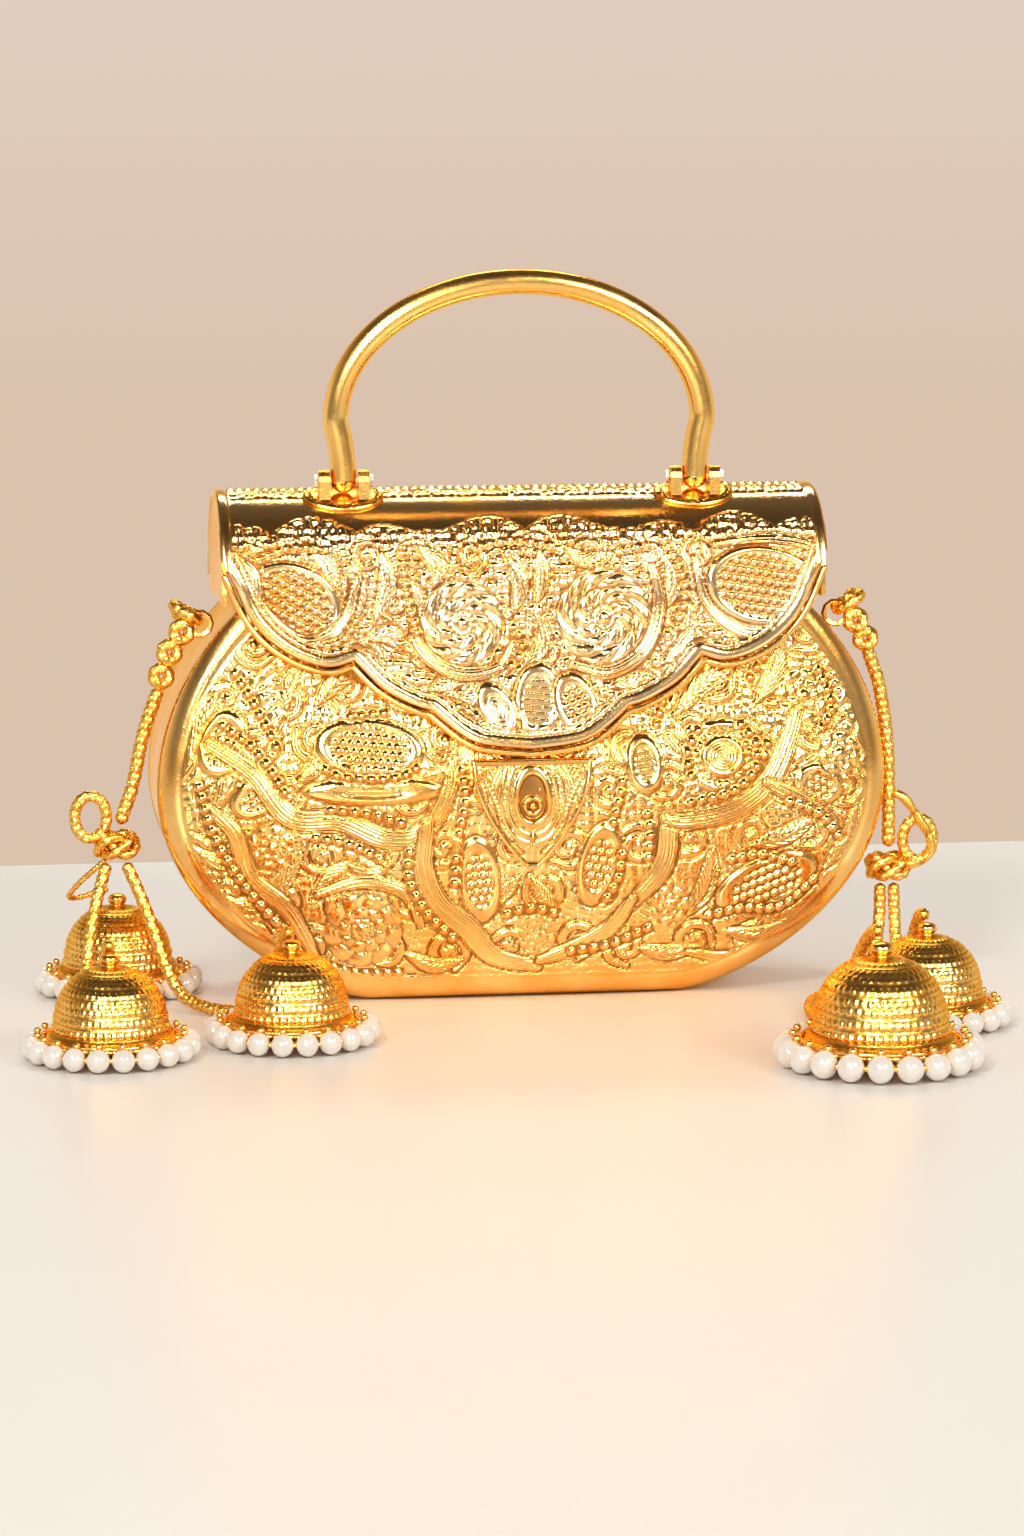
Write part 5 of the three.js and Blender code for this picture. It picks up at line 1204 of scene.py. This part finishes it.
def lid_relief(x, z):
    """The lid's height above its plain surface. The drawing has an uneven upper edge, at about 128.5
    to 134 mm. Behind it, over the roll, come a plain strip, a pebbled strip at 143 to 151 mm, one row
    of beads at 152 to 154 mm and a fine pebbled field down the back."""
    art = Chasing(x, z, 2.3, 1.15, 11)
    art.curl_field(3, 11, 15.5, 92.0, 4.4, (4, 5, 6))
    for points, width in [
        ([(-48, 122), (-46, 112), (-50, 102), (-46, 97)], 2.6), ([(-40, 124), (-38, 114), (-42, 104)], 2.4),
        ([(-44, 100), (-38, 101), (-32, 96)], 2.6), ([(-36, 99), (-30, 97), (-25, 91)], 2.4),
        ([(-34, 116), (-30, 110), (-32, 103)], 2.2), ([(-30, 125), (-24, 119), (-26, 113)], 2.4),
        ([(-6, 122), (-2, 114), (-4, 106)], 2.4), ([(3, 124), (4, 116), (2, 108)], 2.2),
        ([(2, 106), (4, 98), (0, 92)], 2.2), ([(10, 124), (16, 120), (24, 122)], 2.2),
        ([(38, 122), (40, 114), (37, 106)], 2.6), ([(44, 108), (44, 100), (50, 97)], 2.6),
        ([(36, 92), (42, 96), (45, 102)], 2.4), ([(-10, 88), (-16, 84), (-20, 80)], 2.2),
        ([(-14, 92), (-22, 88), (-28, 86)], 2.2), ([(22, 86), (30, 88), (36, 88)], 2.2),
        ([(-76, 126), (-68, 121), (-60, 122)], 2.2), ([(-60, 126), (-54, 120), (-52, 112)], 2.4),
        ([(28, 125), (33, 121), (32, 116)], 2.2),
    ]:
        art.leaf(points, width)
    art.oval(-63.5, 109.5, 12.2, 9.6, -0.5, pitch=2.5)
    art.oval(64.6, 112.4, 14.4, 9.6, -0.15, pitch=2.4)
    art.oval(2, 82.6, 5.4, 8.4, -0.1, fill="lines")
    art.oval(12.6, 81.4, 4.6, 7.2, 0.35, fill="beads", pitch=1.9)
    art.oval(-9, 80.4, 3.6, 6, 0.5, fill="smooth")
    art.flower(-18, 103.4, 11.6, 9, 2.6, 1.6)
    art.flower(20.8, 104.4, 13.2, 11, 0.4, 1.8)
    art.flower(-36, 88.5, 4.6, 6, 0.5)
    art.stem([(-80, 123), (-74, 118), (-72, 108), (-60, 99), (-50, 104), (-46, 116)], 1.7)
    art.stem([(46, 120), (49, 108), (58, 100.5), (72, 101), (80, 112), (80, 122), (68, 125.5),
              (52, 124)], 1.7)
    art.stem([(34, 118), (36, 108), (32, 96), (22, 90), (12, 92)], 1.8)
    art.stem([(-4, 98), (-8, 92), (-20, 90.5), (-30, 98), (-31, 108)], 1.6)
    for points in ([(-74, 121), (-64, 124.5), (-53, 124)], [(-56, 98), (-50, 100), (-46, 106)],
                   [(-3, 102), (-2, 96), (-6, 91)], [(40, 92), (47, 95.5), (53, 97)],
                   [(-76, 112), (-72, 102), (-62, 96)], [(-34, 124), (-33, 112), (-30, 100)],
                   [(-14, 124), (-4, 126), (8, 124)], [(38, 125), (43, 112), (40, 100)],
                   [(-26, 84), (-16, 80), (-12, 76)], [(18, 79), (28, 84), (38, 89)], [(24, 122), (34, 124)]):
        art.bead_row(points, 1.15)
    edge, share = line_distance(np.abs(x), z, EDGE)
    bead = ((share * EDGE_BEADS % 1.0 - 0.5) * 2.0) ** 2
    art.bands(edge, [(3.7, 1.0, 0.85, bead), (1.7, 1.5, 0.75, 0.0)])
    uneven = 5.5 * np.abs(np.sin(x / 7.3)) * np.abs(np.cos(x / 19))
    plain = np.clip((z - DRAWING_TOP_Z - uneven) / 0.6, 0, 1)
    strip = 0.55 * pebbles(x, z, 2.2, 5)
    strip *= np.clip((z - STRIP_Z[0]) / 2, 0, 1) * np.clip((STRIP_Z[1] - z) / 2, 0, 1)
    row = 0.8 * bead_lattice(x / 2.4, (z - BEAD_ROW_Z[0]) / 2.4, 0.46)
    row *= (z > BEAD_ROW_Z[0]) & (z < BEAD_ROW_Z[1])
    back = 0.35 * pebbles(x, z, 3.2, 21) * np.clip((z - BACK_Z) / 3, 0, 1)
    roll = np.maximum(np.maximum(strip, row), back)
    height = art.height * (1 - plain) + roll * plain
    rim = 0.6 * round_cap((np.abs(x) - LID_HALF_WIDTH + SIDE_RIM_MIDDLE) / 1.6)
    at_side = (np.abs(x) > LID_HALF_WIDTH - SIDE_RIM) & (z > SIDE_RIM_Z)
    return np.where(at_side, rim, height), art.trace, art.cut * (1 - plain) * ~at_side, plain


ROLL_ROWS, FLAP_ROWS, LID_COLUMNS, INNER_COLUMNS = 100, 118, 401, 41
columns_x = np.linspace(-LID_HALF_WIDTH, LID_HALF_WIDTH, LID_COLUMNS)
lid_outer, drawn_z, lid_out = lid_grid(columns_x, 0.0, ROLL_ROWS, FLAP_ROWS)
lid_height, lid_trace, lid_cut, lid_plain = lid_relief(lid_outer[..., 0], drawn_z)
inner_x = columns_x[::(LID_COLUMNS - 1) // (INNER_COLUMNS - 1)]
lid_inner = lid_grid(inner_x, SHEET, ROLL_ROWS, FLAP_ROWS)[0]
lid_surface = lid_outer + lid_height[..., None] * lid_out
lid_panel = closed_sheet("chased_lid", lid_surface, lid_inner, flip=True)
store_chasing(lid_panel, lid_height + lid_plain, lid_trace, lid_cut)
finish_piece(lid_panel, LIT_LID_GOLD, "lid", ["lid_shell"])
print("lid faces", len(lid_panel.data.polygons))

# %% Rolled wire along the scalloped edge
EDGE_WIRE_RADIUS, CORNER_ROOM = 0.9, 0.1


def lid_point(x, z, lift):
    """A point on the lid's front face, lifted along its normal on the roll and along Y on the flap."""
    high = np.maximum(0, z - MOUTH_Z)
    depth = np.where(z > MOUTH_Z, ROLL_RADIUS * round_cap(high / ROLL_RADIUS), flap_depth(z))
    norm_y, norm_z = -depth / np.hypot(depth, high), high / np.hypot(depth, high)
    return np.stack([x, -depth + lift * norm_y, z + lift * norm_z], axis=-1)


edge_x = np.linspace(-LID_HALF_WIDTH, LID_HALF_WIDTH, 331)
edge_line = np.stack([edge_x, edge_height(edge_x)], axis=-1)
run = np.diff(edge_line, axis=0)
run /= np.linalg.norm(run, axis=1, keepdims=True)
reach = GAP + EDGE_WIRE_RADIUS + CORNER_ROOM
beside = (edge_line[1:] + edge_line[:-1]) / 2 + reach * np.stack([run[:, 1], -run[:, 0]], axis=-1)
away, _ = line_distance(beside[:, 0], beside[:, 1], edge_line)
beside = beside[(away > reach - 0.03) & (np.abs(beside[:, 0]) < LID_HALF_WIDTH - 0.4)]
wire_path = lid_point(beside[:, 0], beside[:, 1], -SHEET / 2)


def plain_tube(name, points, radius, sides, step):
    """A round rod round a curve, with domed ends: the radius follows a quarter circle at each end."""
    path = curve_through(points, step)[0]
    ahead, behind = path[1] - path[0], path[-1] - path[-2]
    dome = np.linspace(0.15, np.pi / 2, 5)
    near = radius * (1 - np.cos(dome))[:, None]
    path = np.vstack([path[0] + near * ahead / np.linalg.norm(ahead), path[2:-2],
                      path[-1] - near[::-1] * behind / np.linalg.norm(behind)])
    reach = np.full(len(path), float(radius))
    reach[:5], reach[-5:] = radius * np.sin(dome), radius * np.sin(dome)[::-1]
    return ring_piece(name, tube_surface(path, full_turn(sides), reach[:, None], False))


edge_wire = plain_tube("scallop_wire", wire_path, EDGE_WIRE_RADIUS, sides=12, step=0.8)
finish_piece(edge_wire, SMOOTH, "lid", ["lid_edge_wire"])

# %% [markdown]
# ## Handle
# The handle is one polished rod bent into a half oval, with straight legs that draw in a little to
# the pins. It rides on its own body because it swings. A curve object with a round bevel would do,
# but the same tube function as before keeps it one clean mesh.

# %% Handle rod
PIVOT_Y, HANDLE_RADIUS, HANDLE_HALF_WIDTH, HANDLE_ARCH = -10.0, 3.45, 50.2, 37.2
PIVOT_Z = MOUTH_Z + float(np.sqrt(ROLL_RADIUS ** 2 - PIVOT_Y ** 2)) + 5.3426
HANDLE_ARCH_Z, HANDLE_FOOT_X = PIVOT_Z + 16.2, HANDLE_HALF_WIDTH - 2.1
arch = np.linspace(0, np.pi, 33)
leg = np.array([0, 0.35, 0.7])
leg_x = HANDLE_FOOT_X + (HANDLE_HALF_WIDTH - HANDLE_FOOT_X) * leg ** 2
leg_z = PIVOT_Z + (HANDLE_ARCH_Z - PIVOT_Z) * leg
rod = np.vstack([
    [(HANDLE_FOOT_X, PIVOT_Z - 0.96 * HANDLE_RADIUS)], np.stack([leg_x, leg_z], axis=-1),
    np.stack([HANDLE_HALF_WIDTH * np.cos(arch), HANDLE_ARCH_Z + HANDLE_ARCH * np.sin(arch)], axis=-1),
    np.stack([-leg_x, leg_z], axis=-1)[::-1], [(-HANDLE_FOOT_X, PIVOT_Z - 0.96 * HANDLE_RADIUS)],
])
rod_points = np.stack([rod[:, 0], np.full(len(rod), PIVOT_Y), rod[:, 1]], axis=-1)
handle = plain_tube("handle_rod", rod_points, HANDLE_RADIUS, sides=32, step=1.2)
finish_piece(handle, SMOOTH, "handle", ["handle_bow"])
print("handle faces", len(handle.data.polygons))

# %% [markdown]
# ## Handle seats
# Each foot of the handle stands between two small eyes on an oval plate that is bent over the roll.
# The plate is a grid of rings from its middle to its rim, with a chased beaded border.

# %% Seats
SEAT_HALF_X, SEAT_HALF_Y, SEAT_BEADS, SEAT_COLUMNS = 11, 7, 30, 96


def seat(name, centre_x):
    """An oval plate on the roll: rings of points whose height is a low crown with a rim of beads."""
    share = np.concatenate([np.linspace(0, 1, 28), [1.0]])[:, None]
    turn = full_turn(SEAT_COLUMNS)[None, :]
    bend = np.arctan2(PIVOT_Z - MOUTH_Z, PIVOT_Y) + share * SEAT_HALF_Y * np.sin(turn) / ROLL_RADIUS
    bead = 0.45 * bead_lattice(turn * SEAT_BEADS / (2 * np.pi), share * 8, 0.46)
    bead *= (share > 0.8) & (share < 0.96)
    reach = ROLL_RADIUS + GAP + 0.5 + 0.7 * (1 - share ** 4) + bead
    reach[-1] = ROLL_RADIUS + GAP
    surface = np.stack([centre_x + share * SEAT_HALF_X * np.cos(turn), reach * np.cos(bend),
                        MOUTH_Z + reach * np.sin(bend)], axis=-1)
    piece = ring_piece(name, surface[1:])
    set_attribute(piece, "relief", (0.35 + bead)[1:])
    return piece


for word, sign in (("left", -1), ("right", 1)):
    finish_piece(seat(f"seat_{word}", sign * HANDLE_FOOT_X), SEAT_GOLD, "lid",
                 [f"handle_base_{word}"])

# %% [markdown]
# ## Shield of the clasp
# Below the flap's tip sits a small shield with a raised rim, a drop-shaped hollow with a ring and a
# seed in it, and scrolls on both sides. It lies on the front plate, so its grid is the front's own
# formula lifted by the shield's thickness.

# %% Shield
SHIELD_TOP_Z = FLAP_TIP_Z - GAP - 2 * EDGE_WIRE_RADIUS - 0.4
SHIELD_BOTTOM_Z, SHIELD_TOP_HALF = 37.0, 16.5


def shield_half(z):
    """Half width of the shield: a sine of the height, to the power 0.85."""
    rise = (z - SHIELD_BOTTOM_Z) / (SHIELD_TOP_Z - SHIELD_BOTTOM_Z)
    return 0.5 + (SHIELD_TOP_HALF - 0.5) * np.sin(np.pi / 2 * np.clip(rise * 1.02, 0.0, 1)) ** 0.85


def shield_relief(x, z):
    """Height on the shield: a rim along its outline, a hollow drop with a wire round it, a ring and a
    seed inside, a diamond below and fine scroll leaves beside it."""
    art = Chasing(x, z, 1.7, 0.12, 31, base=0.25)
    for sign in (-1, 1):
        art.leaf([(sign * 5, 44), (sign * 8, 50), (sign * 7.2, 57)], 1.5, 0.5, 0.12, 0.2)
        art.leaf([(sign * 7, 58), (sign * 11, 61), (sign * 12.5, 65)], 1.5, 0.5, 0.12, 0.2)
        art.stem([(sign * 3, 42), (sign * 9, 47), (sign * 11, 56), (sign * 8, 64), (sign * 3, 66)], 0.9, 0.55)
        art.bead_row([(sign * 9, 53), (sign * 10.5, 57), (sign * 13, 62)], 0.55, 0.2, 0.5)
    a, b = x, z - 56
    drop = np.hypot(a / 4.6, b / np.where(b > 0, 8.6, 6.2))
    edge = (drop - 1) * 4.6
    art.put(edge < -0.7, -0.75 * round_cap(drop) ** 0.5)
    ring = np.hypot(a, b + 1.2)
    for distance, half, height in ((edge, 0.8, 0.8), (edge - 2.3, 0.6, 0.55), (edge - 3.9, 0.6, 0.55),
                                   (ring - 2.1, 0.6, 0.5), (ring, 0.9, 0.45)):
        art.wire(distance, half, height)
    diamond = np.abs(a) / 1.5 + np.abs(z - 46.3) / 2.5
    art.put(diamond < 1, 0.9 * (1 - diamond))
    side = shield_half(z) - np.abs(x)
    rim = np.minimum(np.minimum(side, SHIELD_TOP_Z - z), (z - SHIELD_BOTTOM_Z) * 0.7)
    art.put(rim < 1.9, 0.0)
    art.wire(rim - 0.8, 0.8, 0.7)
    return art.height, art.trace, art.cut


shield_z = np.linspace(SHIELD_BOTTOM_Z, SHIELD_TOP_Z, 120)[:, None]
shield_share = np.linspace(-1, 1, 121)[None, :]
sx = shield_share * shield_half(shield_z)
sz = np.broadcast_to(shield_z, sx.shape)
shield_border = outline_distance(sx, sz)
shield_seat = plate_depth(front_crest, sx, sz, shield_border) + GAP
shield_height, shield_trace, shield_cut = shield_relief(sx, sz)
shield_outer = np.stack([sx, -(shield_seat + 1.5 + shield_height), sz], axis=-1)
shield_inner = np.stack([sx, -shield_seat, sz], axis=-1)[:, ::12]
shield = closed_sheet("clasp_plate", shield_outer, shield_inner)
store_chasing(shield, shield_height + 0.1, shield_trace, shield_cut)
finish_piece(shield, EMBOSSED, "case", ["clasp_shield"])

# %% [markdown]
# ## Lining
# Inside, a velvet pouch follows the metal. It shows only with the lid open, and a plain offset of the
# case would look like plastic, so soft upright folds run down it: a sum of two sine waves round the
# pouch, deeper in its middle.

# %% Velvet pouch
def pouch(name, columns=180, rows=70):
    """A closed pouch: an outer and an inner wall on rounded squares round the case's middle, joined at
    the mouth by a rolled hem and closed at the bottom."""
    share = np.concatenate([np.zeros(1), np.linspace(0, 1, rows) ** 1.3])
    turn = full_turn(columns)
    spin = (np.cos(turn) ** 4 + np.sin(turn) ** 4) ** -0.25
    fold = 0.55 * np.sin(14 * turn) + 0.35 * np.sin(23 * turn + 1.3)
    walls = []
    for inset in (0.5, 1.4):
        shift = SHEET + inset
        z = (shift + share * (MOUTH_Z - 1.0 - shift))[:, None]
        wide = np.minimum(half_width(z - shift), half_width(z + shift)) - shift
        deep = np.minimum(front_crest(z), back_crest(z)) - shift
        pull = 0.9 * np.clip(np.sin(np.pi * z / MOUTH_Z), 0, 1) * (1 + fold) * 0.5
        x = (wide - pull) * np.cos(turn) * spin
        y = (deep - pull) * np.sin(turn) * spin
        x[0], y[0] = 0.3 * np.cos(turn), 0.3 * np.sin(turn)
        walls.append(np.stack([x, y, np.broadcast_to(z, x.shape)], axis=-1))
    return ring_piece(name, np.vstack([walls[0], walls[1][::-1]]))


finish_piece(pouch("velvet_pouch"), VELVET, "case", ["lining"])

# %% Finishes for the CAD pieces that stay
for name, finish in {
    "hinge_leaf_case": FITTING, "hinge_leaf_lid": FITTING, "hinge_pin": STEEL, "clasp_magnet": STEEL,
    "side_eye_left": FITTING, "side_eye_right": FITTING, "lid_end_left": SMOOTH, "lid_end_right": SMOOTH,
    "handle_eye_left_inner": FITTING, "handle_eye_left_outer": FITTING, "handle_eye_right_inner": FITTING,
    "handle_eye_right_outer": FITTING, "handle_pin_left": STEEL, "handle_pin_right": STEEL,
}.items():
    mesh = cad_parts[name].data
    mesh.materials.clear()
    mesh.materials.append(finish)
print("left as CAD:", sorted(n for n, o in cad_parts.items() if not o.hide_render))

# %% [markdown]
# ## Floor and light
# The photograph's floor is a glossy cream board under soft daylight. Gold shows what stands round it,
# so the surroundings matter as much as the lamps: pale at eye level, and dark above, which gives the
# brown band along the top of the roll. The camera sees a backdrop of its own in their place, painted
# darker towards the bottom as shade.

# %% Floor
FLOOR_Z, FLOOR_CELLS = -0.3, 9
floor_y, floor_x = np.meshgrid(np.linspace(-1600, 200, FLOOR_CELLS), np.linspace(-1500, 1500, FLOOR_CELLS),
                               indexing="ij")
floor_points = np.stack([floor_x, floor_y, np.full(floor_x.shape, FLOOR_Z)], axis=-1)
floor = new_piece("floor_board", floor_points.reshape(-1, 3), grid_faces(FLOOR_CELLS, FLOOR_CELLS))
board = principled("cream_board", Roughness=0.35, Base_Color=(0.9, 0.865, 0.82, 1))[0]
floor.data.materials.append(board)

# %% Surroundings
world = bpy.data.worlds.new("studio")
bpy.context.scene.world = world
world.use_nodes = True
sky = world.node_tree
sky.nodes.clear()


def colour_ramp(height, stops):
    """A colour that goes through the stops, each a position and a colour, as another output rises."""
    ramp = node(sky, "ShaderNodeValToRGB")
    marks = ramp.color_ramp.elements
    for mark, (position, colour) in zip(marks, (stops[0], stops[-1])):
        mark.position, mark.color = position, (*colour, 1)
    for position, colour in stops[1:-1]:
        marks.new(position).color = (*colour, 1)
    sky.links.new(height, ramp.inputs[0])
    return ramp.outputs[0]


def map_range(value, low, high, start=0.0):
    """Another output from low to high, spread over start to 1."""
    made = node(sky, "ShaderNodeMapRange", **{"From Min": low, "From Max": high, "To Min": start})
    sky.links.new(value, made.inputs["Value"])
    return made.outputs[0]


def background(colour, strength=1.0):
    """A Background shader. Its colour and its strength are each a value or another node's output."""
    made = node(sky, "ShaderNodeBackground")
    for socket, value in zip(made.inputs, (colour, strength)):
        if isinstance(value, (tuple, float)):
            socket.default_value = value
        else:
            sky.links.new(value, socket)
    return made.outputs[0]


def mix_shader(share, first, second):
    """The first shader where the share is 0 and the second where it is 1."""
    made = node(sky, "ShaderNodeMixShader")
    for socket, output in zip(made.inputs, (share, first, second)):
        sky.links.new(output, socket)
    return made.outputs[0]


split = node(sky, "ShaderNodeSeparateXYZ")
sky.links.new(node(sky, "ShaderNodeTexCoord").outputs["Generated"], split.inputs[0])
rays = node(sky, "ShaderNodeLightPath")
around = colour_ramp(split.outputs["Z"], [
    (0.0, (0.9, 0.84, 0.76)), (0.22, (0.86, 0.78, 0.7)), (0.45, (0.5, 0.4, 0.3)), (0.7, (0.12, 0.09, 0.06)),
    (1.0, (0.1, 0.075, 0.05)),
])
seen_in_gold = background(around, map_range(split.outputs["Y"], -0.35, 0.25, 0.33))
# Painted shade: the backdrop seen by the camera is darker towards the bottom.
shaded_backdrop = background(colour_ramp(map_range(split.outputs["Z"], -0.08, 0.1),
                                    [(0.0, (0.7, 0.54, 0.42)), (1.0, (0.82, 0.71, 0.63))]))
soft_light = background((1.0, 0.96, 0.9, 1), 0.55)
seen = mix_shader(rays.outputs["Is Camera Ray"], seen_in_gold, shaded_backdrop)
is_seen = math(sky, "MAXIMUM", rays.outputs["Is Camera Ray"], rays.outputs["Is Glossy Ray"])
sky.links.new(mix_shader(is_seen, soft_light, seen), node(sky, "ShaderNodeOutputWorld").inputs["Surface"])


# %% Lamps
BAG_MIDDLE, GLINT_POWER = np.array([0.0, 0.0, 0.08]), 95.0


def soft_box(name, place, size, power, colour=(1.0, 0.97, 0.92)):
    """A rectangular lamp that looks at the bag: its -Z axis is turned along the line to BAG_MIDDLE."""
    lamp = bpy.data.lights.new(name, "AREA")
    lamp.shape, lamp.size, lamp.size_y, lamp.energy, lamp.color = "RECTANGLE", size[0], size[1], power, colour
    box = bpy.data.objects.new(name, lamp)
    bpy.context.scene.collection.objects.link(box)
    box.location = place
    aim = np.array(place) - BAG_MIDDLE
    tilt, swing = np.arccos(aim[2] / np.linalg.norm(aim)), np.arctan2(aim[1], aim[0]) + np.pi / 2
    box.rotation_euler = (tilt, 0.0, swing)
    return box


soft_box("key", (-0.8, -1.2, 1.25), (0.36, 0.36), 9.0)
soft_box("fill", (1.1, -1.1, 0.95), (0.36, 0.36), 6.0)
soft_box("back_top", (0.1, 1.1, 1.3), (0.9, 0.3), 7.0)
for name, place, side_length in [("left", (-0.6, -1.6, 0.85), 0.6), ("right", (0.8, -1.5, 1.0), 0.55),
                                 ("low", (-0.15, -1.9, 0.42), 0.2)]:
    glint = soft_box(f"glint_{name}", place, (side_length, side_length),
                     GLINT_POWER * side_length ** 2)
    glint.visible_diffuse = False
bpy.context.scene.view_settings.view_transform = "Standard"
